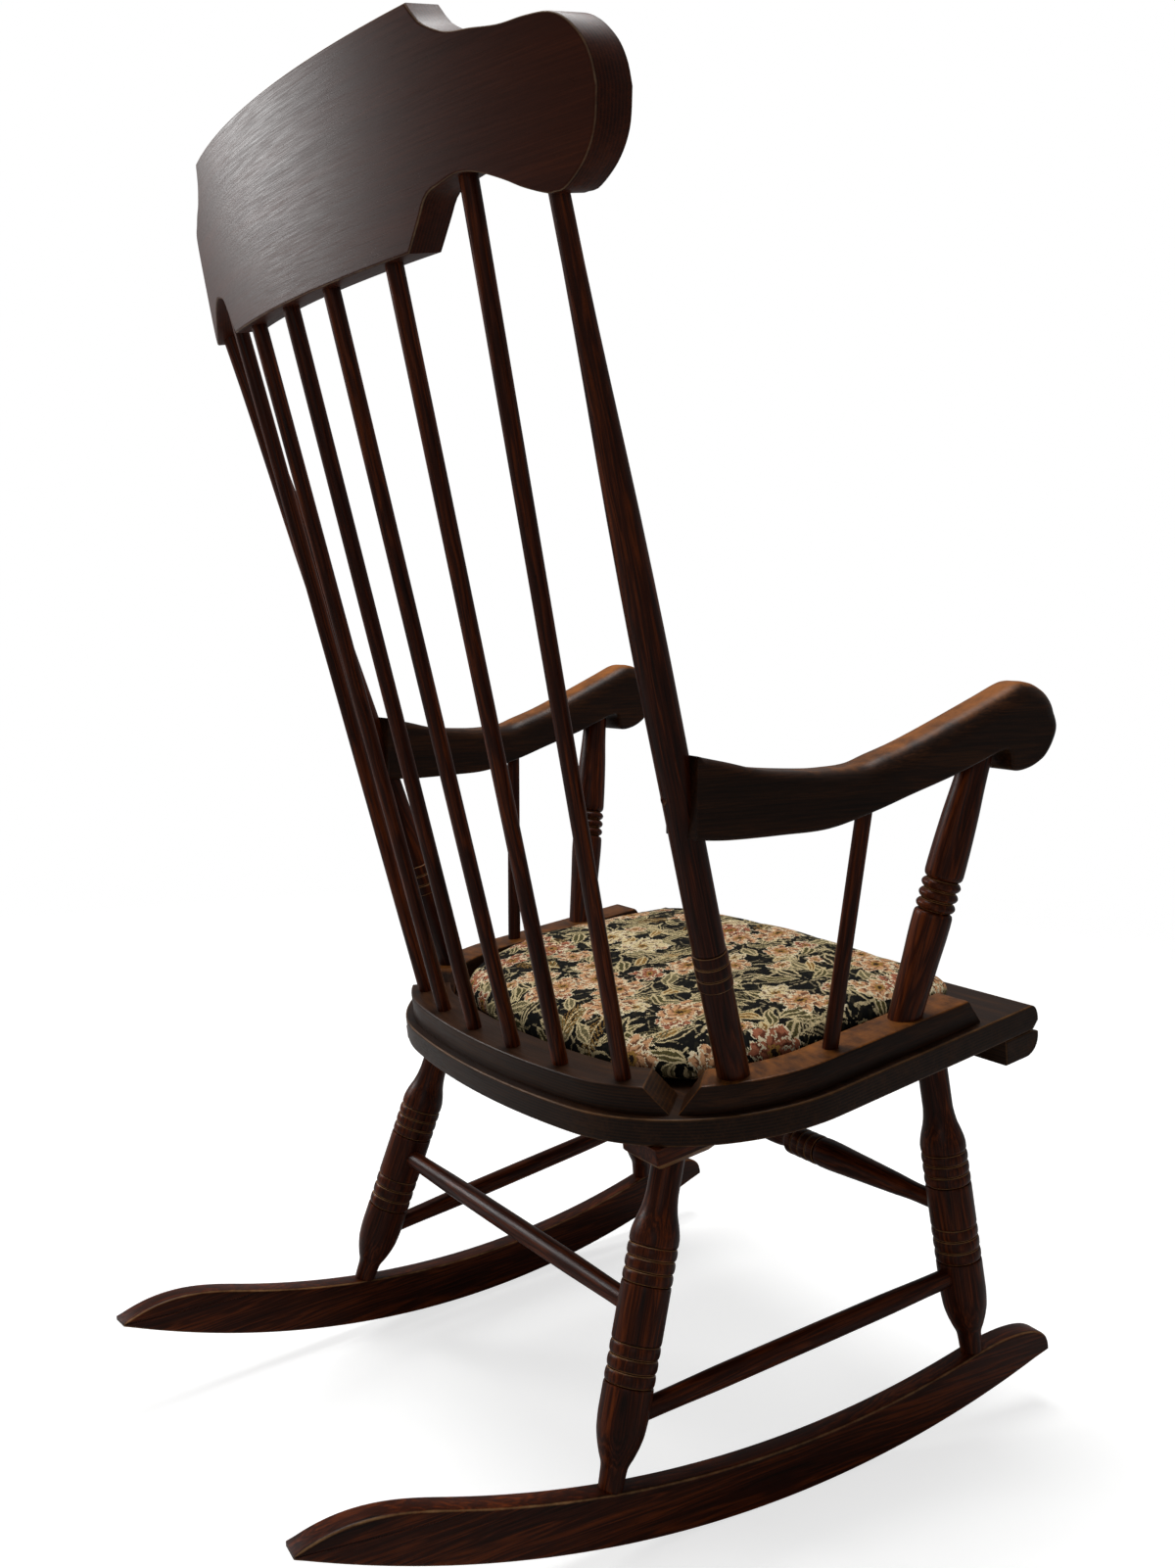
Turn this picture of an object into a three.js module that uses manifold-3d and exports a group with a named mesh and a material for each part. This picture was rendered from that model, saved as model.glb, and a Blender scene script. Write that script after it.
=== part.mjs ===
// A high-backed rocking chair with turned legs, a bent crest board and a loose tapestry seat cushion.
// Millimetres. +Z is up, the sitter faces -Y, and the origin is on the floor under the middle of the rockers.
import * as THREE from 'three';
import { mergeVertices } from 'three/addons/utils/BufferGeometryUtils.js';
import Module from 'manifold-3d';

const wasm = await Module();
wasm.setup();

// Where the seat stands over the floor
const SEAT_FRONT_Y = -303.2;
const SEAT_FRONT_HEIGHT = 366.2;
const SEAT_TILT_DEGREES = 7.03;

// Clearances between pieces, and how far a cutting shape runs past what it cuts
const REST_GAP = 0.3;
const FIT_GAP = 0.3;
const OVERRUN = 30;

// Seat board
const SEAT_HALF_WIDTH = 256;
const SEAT_DEPTH = 399.4;
const SEAT_THICKNESS = 21.9;
const SEAT_CORNER_RADIUS = 160.4;
const SEAT_CORNER_SPREAD = 100.7;
const SEAT_BACK_RADIUS = 800;
const NOSE_REACH = 8;
const NOSE_DROP = 12;
const NOSE_FLAT = 2.5;

// Rolled strip under the front of the seat
const ROLL_DEPTH = 34;
const ROLL_HEIGHT = 21.5;
const ROLL_ROUND = 17;
const ROLL_NOTCH = 2.5;

// Rails on top of the seat
const RAIL_HEIGHT = 22;
const RAIL_SETBACK = 8;
const BACK_RAIL_WIDTH = 38;
const SIDE_RAIL_WIDTH = 35;
const SIDE_RAIL_FRONT = 55;
const SIDE_RAIL_BEVEL = 13;
const RAIL_END_DEGREES = 47.5;
const RAIL_END_GAP = 5;
const RAIL_END_BEVEL = 19;

// Blocks under the seat for the rear legs
const BLOCK_WIDTH = 46;
const BLOCK_LENGTH = 62;
const BLOCK_HEIGHT = 20;
const BLOCK_CHAMFER = 7;

// Crest board
const CREST_HALF_WIDTH = 320.4;
const CREST_HEIGHT = 141.5;
const CREST_THICKNESS = 25;
const CREST_BEND_RADIUS = 861.5;
const CREST_SETBACK = 453.5;
const CREST_LIFT = 624;
const CREST_LEAN_DEGREES = 2.87;

// Back posts and back spindles
const POST_RADIUS = 12.6;
const POST_RING_RADIUS = 13.5;
const POST_GROOVE_DEPTH = 1.4;
const POST_TIP_RADIUS = 6.7;
const POST_TIP_DEPTH = 14;
const POST_SEAT_DEGREES = 28.6;
const POST_TENON_RADIUS = 8;
const TENON_DEPTH = 34;
const SPINDLE_RADIUS = 6.5;
const SPINDLE_INSET = 22;
const SPINDLE_SPACING = 64;
const SPINDLE_FOOT_DEPTH = 16;
const SPINDLE_HEAD_DEPTH = 18;

// Arms and the uprights under them
const ARM_WIDTH = 42;
const ARM_LENGTH = 344.4;
const ARM_RISE = 103.8;
const ARM_SPLAY_DEGREES = 5.4;
const ARM_END_GAP = 2.0;
const ARM_JOINT_LIFT = 228;
const ARM_DROP = 29.8;
const ARM_POST_FOOT = 126.5;
const ARM_POST_REACH = 278.0;
const ARM_POST_RADIUS = 15.8;
const ARM_POST_TENON_RADIUS = 9;
const ARM_POST_HEAD_DEPTH = 14;
const ARM_SPINDLE_FOOT = 211;
const ARM_SPINDLE_REACH = 166.0;
const ARM_SPINDLE_RADIUS = 6.3;
const ARM_SPINDLE_HEAD_DEPTH = 14;

// Legs
const LEG_TURNING = 270.5;
const LEG_RADIUS = 19.4;
const LEG_GROOVE_DEPTH = 1.5;
const LEG_NECK_RADIUS = 12.6;
const LEG_HEAD_DEPTH = 14;
const LEG_TENON_RADIUS = 5.5;
const LEG_TENON_DEPTH = 20;
const REAR_LEG_SPREAD = 178.9;
const REAR_LEG_SETBACK = 73.2;
const FRONT_LEG_SPREAD = 207.5;
const FRONT_LEG_BACK = 74.2;

// Stretchers, with the height of each on the leg that it enters
const DOWEL_RADIUS = 9;
const DOWEL_END_RADIUS = 8;
const STRETCHER_DEPTH = 13;
const REAR_STRETCHER_LIFT = 128;
const SIDE_STRETCHER_REAR_LIFT = 49;
const SIDE_STRETCHER_FRONT_LIFT = 68.7;
const FRONT_STRETCHER_LIFT = 126;
const FRONT_STRETCHER_RADIUS = 14;
const FRONT_STRETCHER_GROOVE = 1.5;

// Rockers
const ROCKER_LENGTH = 687;
const ROCKER_THICKNESS = 19.5;
const ROCKER_HEIGHT = 41.9;
const ROCKER_RADIUS = 930;
const ROCKER_BALANCE_Y = -45;
const ROCKER_HALF_TRACK = 217.5;
const ROCKER_TOE_DEGREES = 4.9;
const ROCKER_NOSE = 87.5;
const ROCKER_TAIL = 114.9;
const ROCKER_TIP = 3;
const ROCKER_TAIL_POWER = 2.6;

// Loose cushion
const CUSHION_FRONT = 18;
const CUSHION_SIDE_GAP = 4;
const CUSHION_REAR_GAP = 9;
const CUSHION_CORNER_RADIUS = 38;
const CUSHION_CROWN = 37;
const CUSHION_ROUND = 14;
const CUSHION_DRAW = 3;
const COVER_THICKNESS = 1.4;
const ZIP_LENGTH = 250;
const ZIP_HEIGHT = 5;
const ZIP_LIFT = 5.5;
const ZIP_THICKNESS = 2;
const SLIDER_LENGTH = 9;
const SLIDER_THICKNESS = 2.4;
const SLIDER_HEIGHT = 6.4;
const PULL_LENGTH = 16;
const PULL_HEIGHT = 3;
const PULL_THICKNESS = 1.2;

// Screws and the plugs over them
const SCREW_RADIUS = 2;
const SCREW_HEAD_RADIUS = 4;
const SCREW_HEAD_HEIGHT = 3;
const RAIL_SCREW_LENGTH = 32;
const ROLL_SCREW_LENGTH = 32;
const BLOCK_SCREW_LENGTH = 30;
const BLOCK_SCREW_REACH = 19.5;
const BLOCK_SCREW_SPREAD = 11;
const ARM_SCREW_LENGTH = 52;
const PLUG_RADIUS = 4.6;
const PLUG_HEIGHT = 4;
const PLUG_PROUD = 0.6;
const SIDE_RAIL_SCREWS = [88, 250];
const BACK_RAIL_SCREW_SPREAD = 128;
const ROLL_SCREW_SPREAD = 150;

// Facet counts
const LEG_SIDES = 12;
const POST_SIDES = 10;
const SPINDLE_SIDES = 8;
const SCREW_SIDES = 6;
const CORNER_STEPS = 5;
const BACK_STEPS = 4;
const NOSE_STEPS = 4;
const CREST_STEPS = 18;
const CURVE_STEPS = 2;
const ROCKER_STEPS = 24;
const ZIP_STEPS = 12;

// Along each turned piece from its foot up: shares of its length and of its radius
const LEG_FOOT_SHARES = [[0, 0.49], [0.055, 0.53], [0.09, 0.71], [0.12, 0.85], [0.155, 0.955], [0.205, 1]];
const REAR_LEG_LOW_RINGS_SHARE = [0.277, 0.39];
const FRONT_LEG_LOW_RINGS_SHARE = [0.302, 0.415];
const LEG_HIGH_RINGS_SHARE = [0.549, 0.654];
const LEG_NECK_SHARES = [[0.676, 0.99], [0.692, 0.96], [0.717, 0.87], [0.745, 0.75], [0.771, 0.685]];
const LEG_NECK_END_SHARE = 0.8;

// Where the feet stand, forwards of the rockers' middle, as a share of their length
const FRONT_FOOT_SHARE = 0.378;
const REAR_FOOT_SHARE = -0.146;

const POST_RINGS_SHARE = [0.122, 0.17];
const POST_TAPER_SHARE = 0.56;
const ARM_POST_FOOT_SHARES = [[0, 0.85], [0.2, 0.92], [0.37, 0.99], [0.395, 0.97]];
const ARM_POST_RINGS_SHARE = [0.412, 0.53];
const ARM_POST_GROOVE_SHARE = 0.2;
const ARM_POST_HEAD_SHARES = [[0.547, 0.95], [0.565, 0.985], [0.75, 0.92], [0.92, 0.79], [1, 0.76]];
const STRETCHER_BULB_SHARES = [[0, 0.78], [0.05, 0.76], [0.09, 0.67]];
const STRETCHER_RINGS_SHARE = [0.115, 0.29];
const STRETCHER_CONE_SHARES = [[0.32, 1], [0.5, 0.87], [0.7, 0.7]];

// A ring's flat crown lies between these shares of its width
const RING_CROWN_SHARES = [0.22, 0.78];

// Where back posts and spindles enter the crest: shares of its half width and of its height
const POST_HEAD_SHARE = [0.856, 0.06];
const SPINDLE_HEAD_SHARES = [[0.115, 0], [0.38, 0], [0.645, 0.255]];

// Crest outline from the corner of its raised middle, round the ear and under the arch, in the same shares
const CREST_SHARES = [
  [0.592, 1], [0.615, 0.921], [0.636, 0.879], [0.686, 0.82], [0.744, 0.794], [0.81, 0.763],
  [0.873, 0.754], [0.923, 0.735], [0.956, 0.687], [0.984, 0.599], [0.997, 0.505], [1, 0.403],
  [0.985, 0.253], [0.955, 0.141], [0.911, 0.063], [0.885, 0.056], [0.865, 0.062], [0.815, 0.112],
  [0.771, 0.169], [0.714, 0.229], [0.662, 0.257], [0.614, 0.242], [0.567, 0.213], [0.533, 0.123],
  [0.504, 0.043], [0.488, 0],
];

// Arm outline from its rear end over the top and round the scroll, then back underneath: shares of its
// length from the scroll and of its rise
const ARM_SHARES = [
  [1, 0.583], [0.92, 0.526], [0.825, 0.457], [0.69, 0.422], [0.615, 0.425], [0.562, 0.444],
  [0.51, 0.498], [0.43, 0.58], [0.325, 0.711], [0.187, 0.894], [0.115, 0.99], [0.08, 0.995],
  [0.045, 0.955], [0.016, 0.88], [-0.001, 0.775], [-0.006, 0.65], [0.012, 0.53], [0.045, 0.42],
  [0.092, 0.345], [0.141, 0.338],
];
const ARM_UNDER_SHARES = [
  [0.152, 0.47], [0.179, 0.485], [0.306, 0.34], [0.44, 0.211], [0.543, 0.11], [0.664, 0.017],
  [0.785, 0.002], [0.92, 0], [1, 0.02],
];

// Where the uprights under an arm meet its underside, as shares of its rise
const ARM_POST_HEAD_SHARE = 0.447;
const ARM_SPINDLE_HEAD_SHARE = 0.13;

// Cushion side from its bottom up: shares of how far its edge is rounded in and of its crown
const CUSHION_SIDE_SHARES = [
  [1, 0], [0.4, 0.02], [0.12, 0.13], [0.03, 0.31], [0, 0.42], [0.1, 0.56], [0.36, 0.7], [1, 0.82],
];
// Cushion top: shares of the outline left inside the rounding and of the crown
const CUSHION_TOP_SHARES = [[0.75, 0.92], [0.4, 0.98]];

const COLOURS = {
  walnut: 0x3a1f14,
  seat: 0x33221a,
  crest: 0x2f1d16,
  arm: 0x5f3219,
  tapestry: 0x5c4f3a,
  foam: 0xd8c9a0,
  zip: 0xd9d6cf,
  steel: 0x8d8a84,
};

function material(colour, roughness, metalness = 0) {
  return new THREE.MeshStandardMaterial({ color: colour, roughness, metalness });
}

// Joining and cutting

function signedVolume(position, index) {
  const corners = [new THREE.Vector3(), new THREE.Vector3(), new THREE.Vector3()];
  let total = 0;
  for (let i = 0; i < index.length; i += 3) {
    corners.forEach((corner, k) => corner.fromBufferAttribute(position, index[i + k]));
    total += corners[0].dot(corners[1].cross(corners[2]));
  }
  return total;
}

function solidOf(geometry) {
  const bare = geometry.clone();
  bare.deleteAttribute('normal');
  bare.deleteAttribute('uv');
  const merged = mergeVertices(bare);
  const all = merged.index.array;
  const kept = [];
  for (let i = 0; i < all.length; i += 3) {
    const [a, b, c] = [all[i], all[i + 1], all[i + 2]];
    if (a !== b && b !== c && c !== a) {
      kept.push(a, b, c);
    }
  }
  if (signedVolume(merged.attributes.position, kept) < 0) {
    kept.reverse();
  }
  const triVerts = Uint32Array.from(kept);
  const vertProperties = Float32Array.from(merged.attributes.position.array);
  return new wasm.Manifold(new wasm.Mesh({ numProp: 3, vertProperties, triVerts }));
}

function geometryOf(solid) {
  const mesh = solid.getMesh();
  const geometry = new THREE.BufferGeometry();
  geometry.setAttribute('position', new THREE.BufferAttribute(Float32Array.from(mesh.vertProperties), 3));
  geometry.setIndex(Array.from(mesh.triVerts));
  const flat = geometry.toNonIndexed();
  flat.computeVertexNormals();
  return flat;
}

// Cuts shapes out of a mesh; each shape is a geometry with the object in whose frame it is drawn.
function cut(mesh, shapes) {
  mesh.updateWorldMatrix(true, false);
  const inward = mesh.matrixWorld.clone().invert();
  let solid = solidOf(mesh.geometry);
  for (const { geometry, frame } of shapes) {
    frame.updateWorldMatrix(true, false);
    const placed = geometry.clone().applyMatrix4(inward.clone().multiply(frame.matrixWorld));
    solid = solid.subtract(solidOf(placed));
  }
  mesh.geometry = geometryOf(solid);
}

function join(mesh, geometry) {
  mesh.geometry = geometryOf(solidOf(mesh.geometry).add(solidOf(geometry)));
}

function common(first, second) {
  return geometryOf(solidOf(first).intersect(solidOf(second)));
}

// Basic shapes

function addMesh(parent, name, geometry, paint) {
  const mesh = new THREE.Mesh(geometryOf(solidOf(geometry)), paint);
  mesh.name = name;
  parent.add(mesh);
  return mesh;
}

// A flat outline given a thickness along +Z
function slab(points, bottom, top) {
  const shape = new THREE.Shape(points);
  const geometry = new THREE.ExtrudeGeometry(shape, { depth: top - bottom, bevelEnabled: false });
  return geometry.translate(0, 0, bottom);
}

// A side outline, drawn as distance back and height, given a thickness across the chair
function sideSlab(points, halfWidth) {
  return slab(points, -halfWidth, halfWidth).rotateX(Math.PI / 2).rotateZ(Math.PI / 2);
}

// Rings with the same number of points, skinned from the first up to the last and closed by middle points
function skin(rings, firstMiddle, lastMiddle) {
  const count = rings[0].length;
  const points = [firstMiddle, ...rings.flat(), lastMiddle];
  const geometry = new THREE.BufferGeometry().setFromPoints(points);
  const index = [];
  for (let k = 0; k < count; k += 1) {
    const next = (k + 1) % count;
    index.push(0, 1 + next, 1 + k);
    for (let ring = 0; ring < rings.length - 1; ring += 1) {
      const low = 1 + ring * count;
      const high = low + count;
      index.push(low + k, low + next, high + next, low + k, high + next, high + k);
    }
    const last = 1 + (rings.length - 1) * count;
    index.push(points.length - 1, last + k, last + next);
  }
  geometry.setIndex(index);
  return geometry;
}

// Turned pieces stand on their own +Z axis and are drawn as distance along it and radius

function turned(profile, sides) {
  const points = profile.map(([along, radius]) => new THREE.Vector2(radius, along));
  points.unshift(new THREE.Vector2(0, profile[0][0]));
  points.push(new THREE.Vector2(0, profile.at(-1)[0]));
  return new THREE.LatheGeometry(points, sides).rotateX(Math.PI / 2);
}

function rod(start, end, radius, sides) {
  return turned([[start, radius], [end, radius]], sides);
}

function grown(profile, gap) {
  return profile.map(([along, radius]) => [along, radius + gap]);
}

function rings(start, end, count, radius, depth) {
  const pitch = (end - start) / count;
  const points = [[start, radius - depth]];
  for (let ring = 0; ring < count; ring += 1) {
    const low = start + ring * pitch;
    RING_CROWN_SHARES.forEach((share) => points.push([low + share * pitch, radius]));
    points.push([low + pitch, radius - depth]);
  }
  return points;
}

function scaled(shares, length, height) {
  return shares.map(([along, up]) => [along * length, up * height]);
}

function aim(object, from, to) {
  object.position.copy(from);
  object.quaternion.setFromUnitVectors(new THREE.Vector3(0, 0, 1), to.clone().sub(from).normalize());
}

function addTurned(name, profile, sides, from, to, colour = COLOURS.walnut) {
  const mesh = addMesh(chair, name, turned(profile, sides), material(colour, 0.4));
  aim(mesh, from, to);
  return mesh;
}

function bore(piece, start, end, radius, sides) {
  return { geometry: rod(start, end, radius + FIT_GAP, sides), frame: piece };
}

// Calls a maker for the right and for the left side of the sitter
function pair(name, make) {
  return [make(`${name}_right`, -1), make(`${name}_left`, 1)];
}

function mirrored(points, sign) {
  return points.map((point) => new THREE.Vector2(point.x * sign, point.y));
}

// Frames

const chair = new THREE.Group();
const seat = new THREE.Group();
seat.position.set(0, SEAT_FRONT_Y, SEAT_FRONT_HEIGHT);
seat.rotation.x = -THREE.MathUtils.degToRad(SEAT_TILT_DEGREES);
chair.add(seat);
const crest = new THREE.Group();
crest.position.set(0, CREST_SETBACK, CREST_LIFT);
crest.rotation.x = -THREE.MathUtils.degToRad(CREST_LEAN_DEGREES);
seat.add(crest);

function placed(frame, x, y, z) {
  return frame.localToWorld(new THREE.Vector3(x, y, z));
}

// A point over the seat, from the middle of its front edge: across, back and up
function seatPoint(across, back, up) {
  seat.updateWorldMatrix(true, false);
  return placed(seat, across, back, up);
}

function crestDepth(across) {
  return Math.sqrt(CREST_BEND_RADIUS ** 2 - across ** 2) - CREST_BEND_RADIUS;
}

function crestPoint([acrossShare, liftShare], sign) {
  crest.updateWorldMatrix(true, false);
  const across = acrossShare * CREST_HALF_WIDTH * sign;
  return placed(crest, across, crestDepth(across), liftShare * CREST_HEIGHT);
}

// Plan of the seat: straight sides that meet a wide arc at each rear corner, and a flatter arc behind

const backCentre = SEAT_DEPTH - SEAT_BACK_RADIUS;
const cornerCentre = backCentre
  + Math.sqrt((SEAT_BACK_RADIUS - SEAT_CORNER_RADIUS) ** 2 - SEAT_CORNER_SPREAD ** 2);
const backAngle = Math.atan2(cornerCentre - backCentre, SEAT_CORNER_SPREAD);
const frontSpread = SEAT_HALF_WIDTH - SEAT_CORNER_SPREAD;
const sideAngle = Math.acos(SEAT_CORNER_RADIUS / Math.hypot(frontSpread, cornerCentre))
  - Math.atan2(cornerCentre, frontSpread);
const railEndAngle = THREE.MathUtils.degToRad(RAIL_END_DEGREES);

function sideX(inset, back) {
  return SEAT_HALF_WIDTH - (inset + back * Math.sin(sideAngle)) / Math.cos(sideAngle);
}

function arcPoint(centreX, centreY, radius, angle) {
  return new THREE.Vector2(centreX + radius * Math.cos(angle), centreY + radius * Math.sin(angle));
}

function arc(centreX, centreY, radius, from, to, steps) {
  return Array.from({ length: steps + 1 }, (_, step) => (
    arcPoint(centreX, centreY, radius, from + (to - from) * step / steps)
  ));
}

function cornerArc(inset, from, to) {
  return arc(SEAT_CORNER_SPREAD, cornerCentre, SEAT_CORNER_RADIUS - inset, from, to, CORNER_STEPS);
}

function backArc(inset) {
  return arc(0, backCentre, SEAT_BACK_RADIUS - inset, backAngle, Math.PI / 2, BACK_STEPS);
}

function joinedHalves(half) {
  return [...half, ...mirrored(half, -1).reverse().slice(1)];
}

// Seat board, its nose and the roll under it

function quarterRound(centreY, centreZ, radiusY, radiusZ, from) {
  return Array.from({ length: NOSE_STEPS + 1 }, (_, step) => {
    const angle = from - (Math.PI / 2) * step / NOSE_STEPS;
    return new THREE.Vector2(centreY + radiusY * Math.cos(angle), centreZ + radiusZ * Math.sin(angle));
  });
}

function makeSeat() {
  const plan = joinedHalves([
    new THREE.Vector2(sideX(0, -NOSE_REACH), -NOSE_REACH),
    ...cornerArc(0, sideAngle, backAngle),
    ...backArc(0).slice(1),
  ]);
  const side = [
    new THREE.Vector2(SEAT_DEPTH + OVERRUN, -SEAT_THICKNESS),
    new THREE.Vector2(0, -SEAT_THICKNESS),
    new THREE.Vector2(-NOSE_REACH, -NOSE_DROP - NOSE_FLAT),
    ...quarterRound(0, -NOSE_DROP, NOSE_REACH, NOSE_DROP, Math.PI),
    new THREE.Vector2(SEAT_DEPTH + OVERRUN, 0),
  ];
  const board = common(
    slab(plan, -SEAT_THICKNESS - OVERRUN, OVERRUN),
    sideSlab(side, SEAT_HALF_WIDTH + OVERRUN),
  );
  return addMesh(seat, 'seat_board', board, material(COLOURS.seat, 0.45));
}

function makeRoll() {
  const top = -SEAT_THICKNESS - REST_GAP;
  const bottom = top - ROLL_HEIGHT;
  const side = [
    new THREE.Vector2(ROLL_DEPTH, top),
    new THREE.Vector2(ROLL_DEPTH, bottom),
    ...quarterRound(ROLL_ROUND - NOSE_REACH, bottom + ROLL_ROUND, ROLL_ROUND, ROLL_ROUND, -Math.PI / 2),
    new THREE.Vector2(-NOSE_REACH, top - ROLL_NOTCH),
    new THREE.Vector2(0, top),
  ];
  return addMesh(seat, 'front_roll', sideSlab(side, SEAT_HALF_WIDTH), material(COLOURS.seat, 0.5));
}

// A block with one face through a point, which planes off what lies beyond it along a direction
function planer(point, direction) {
  const size = SEAT_DEPTH;
  const holder = new THREE.Object3D();
  aim(holder, point, point.clone().add(direction));
  holder.updateMatrix();
  return new THREE.BoxGeometry(size, size, size).translate(0, 0, size / 2).applyMatrix4(holder.matrix);
}

// Slopes the end of a rail back from its foot, which lies half the gap away from the rails' meeting angle
function railEnd(sign, turn) {
  const radius = SEAT_CORNER_RADIUS - RAIL_SETBACK - BACK_RAIL_WIDTH / 2;
  const angle = railEndAngle - turn * RAIL_END_GAP / 2 / radius;
  const foot = arcPoint(SEAT_CORNER_SPREAD, cornerCentre, radius, angle);
  const direction = new THREE.Vector3(
    -Math.sin(angle) * sign * turn * RAIL_HEIGHT,
    Math.cos(angle) * turn * RAIL_HEIGHT,
    RAIL_END_BEVEL,
  );
  return { geometry: planer(new THREE.Vector3(foot.x * sign, foot.y, 0), direction), frame: seat };
}

function makeBackRail() {
  const outer = RAIL_SETBACK;
  const inner = RAIL_SETBACK + BACK_RAIL_WIDTH;
  const edge = (inset) => joinedHalves([
    ...cornerArc(inset, railEndAngle, backAngle),
    ...backArc(inset).slice(1),
  ]);
  const outline = [...edge(outer), ...edge(inner).reverse()];
  const geometry = slab(outline, REST_GAP, RAIL_HEIGHT);
  const rail = addMesh(seat, 'back_rail', geometry, material(COLOURS.seat, 0.35));
  cut(rail, [railEnd(-1, -1), railEnd(1, -1)]);
  return rail;
}

function makeSideRail(name, sign) {
  const edge = (inset) => [
    new THREE.Vector2(sideX(inset, SIDE_RAIL_FRONT), SIDE_RAIL_FRONT),
    ...cornerArc(inset, sideAngle, railEndAngle),
  ];
  const outline = [...edge(RAIL_SETBACK), ...edge(RAIL_SETBACK + SIDE_RAIL_WIDTH).reverse()];
  const geometry = slab(mirrored(outline, sign), REST_GAP, RAIL_HEIGHT);
  const rail = addMesh(seat, name, geometry, material(COLOURS.arm, 0.4));
  const front = planer(
    new THREE.Vector3(sideX(RAIL_SETBACK, SIDE_RAIL_FRONT) * sign, SIDE_RAIL_FRONT, 0),
    new THREE.Vector3(0, -RAIL_HEIGHT, SIDE_RAIL_BEVEL),
  );
  cut(rail, [{ geometry: front, frame: seat }, railEnd(sign, 1)]);
  return rail;
}

// How far back the seat's rear edge lies, less an inset, at a distance from the middle
function rearEdge(inset, across) {
  if (across < (SEAT_BACK_RADIUS - inset) * Math.cos(backAngle)) {
    return backCentre + Math.sqrt((SEAT_BACK_RADIUS - inset) ** 2 - across ** 2);
  }
  return cornerCentre + Math.sqrt((SEAT_CORNER_RADIUS - inset) ** 2 - (across - SEAT_CORNER_SPREAD) ** 2);
}

// Middle line of a side rail
function sideRailX(back) {
  return sideX(RAIL_SETBACK + SIDE_RAIL_WIDTH / 2, back);
}

// The crest is a bent board sawn to its outline

function makeCrest() {
  const reach = Math.asin((CREST_HALF_WIDTH + OVERRUN) / CREST_BEND_RADIUS);
  const face = (radius, from, to) => arc(0, -CREST_BEND_RADIUS, radius, from, to, CREST_STEPS);
  const panel = slab(
    [
      ...face(CREST_BEND_RADIUS + CREST_THICKNESS / 2, Math.PI / 2 - reach, Math.PI / 2 + reach),
      ...face(CREST_BEND_RADIUS - CREST_THICKNESS / 2, Math.PI / 2 + reach, Math.PI / 2 - reach),
    ],
    -OVERRUN,
    CREST_HEIGHT + OVERRUN,
  );
  const corners = scaled(CREST_SHARES, CREST_HALF_WIDTH, CREST_HEIGHT)
    .map(([x, y]) => new THREE.Vector2(x, y));
  const half = new THREE.SplineCurve(corners).getPoints(CURVE_STEPS * (corners.length - 1));
  const outline = [...half, ...mirrored(half, -1).reverse()];
  const trim = slab(outline, -CREST_BEND_RADIUS, CREST_BEND_RADIUS).rotateX(Math.PI / 2);
  return addMesh(crest, 'crest_rail', common(panel, trim), material(COLOURS.crest, 0.35));
}

// Uprights

// Trims the foot of an upright level with the top of the rails
function trimFoot(mesh) {
  const foot = seat.worldToLocal(mesh.position.clone());
  const top = new THREE.Vector3(foot.x, foot.y, RAIL_HEIGHT + REST_GAP);
  cut(mesh, [{ geometry: planer(top, new THREE.Vector3(0, 0, -1)), frame: seat }]);
}

function postFoot(sign) {
  const radius = SEAT_CORNER_RADIUS - RAIL_SETBACK - SIDE_RAIL_WIDTH / 2;
  const angle = THREE.MathUtils.degToRad(POST_SEAT_DEGREES);
  const foot = arcPoint(SEAT_CORNER_SPREAD, cornerCentre, radius, angle);
  return seatPoint(foot.x * sign, foot.y, RAIL_HEIGHT);
}

const postLength = postFoot(1).distanceTo(crestPoint(POST_HEAD_SHARE, 1));

function makePost(name, sign) {
  const [low, high] = POST_RINGS_SHARE.map((share) => share * postLength);
  const profile = [
    [-POST_RADIUS, POST_RADIUS],
    [low - POST_GROOVE_DEPTH, POST_RADIUS],
    ...rings(low, high, 3, POST_RING_RADIUS, POST_GROOVE_DEPTH * 2),
    [high + POST_GROOVE_DEPTH, POST_RADIUS],
    [POST_TAPER_SHARE * postLength, POST_RADIUS],
    [postLength, POST_TIP_RADIUS],
    [postLength + POST_TIP_DEPTH, POST_TIP_RADIUS],
  ];
  const post = addTurned(name, profile, POST_SIDES, postFoot(sign), crestPoint(POST_HEAD_SHARE, sign));
  trimFoot(post);
  join(post, rod(-TENON_DEPTH, POST_RADIUS, POST_TENON_RADIUS, POST_SIDES));
  return post;
}

function makeBackSpindle(number, sign, step) {
  const across = SPINDLE_SPACING * (step + 0.5);
  const foot = seatPoint(across * sign, rearEdge(SPINDLE_INSET, across), RAIL_HEIGHT);
  const head = crestPoint(SPINDLE_HEAD_SHARES[step], sign);
  const length = foot.distanceTo(head);
  const profile = [[-SPINDLE_FOOT_DEPTH, SPINDLE_RADIUS], [length + SPINDLE_HEAD_DEPTH, SPINDLE_RADIUS]];
  const spindle = addTurned(`back_spindle_${number}`, profile, SPINDLE_SIDES, foot, head);
  spindle.userData.length = length;
  return spindle;
}

// Arms: each is drawn from where its rear end meets a back post, in a frame turned with its splay

function makeArmFrame(sign) {
  const joint = postFoot(sign).lerp(crestPoint(POST_HEAD_SHARE, sign), ARM_JOINT_LIFT / postLength);
  const frame = new THREE.Group();
  frame.position.copy(joint);
  frame.rotation.z = sign * THREE.MathUtils.degToRad(ARM_SPLAY_DEGREES);
  chair.add(frame);
  frame.updateWorldMatrix(true, false);
  return frame;
}

function armLift(share) {
  return share * ARM_RISE - ARM_DROP;
}

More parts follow.
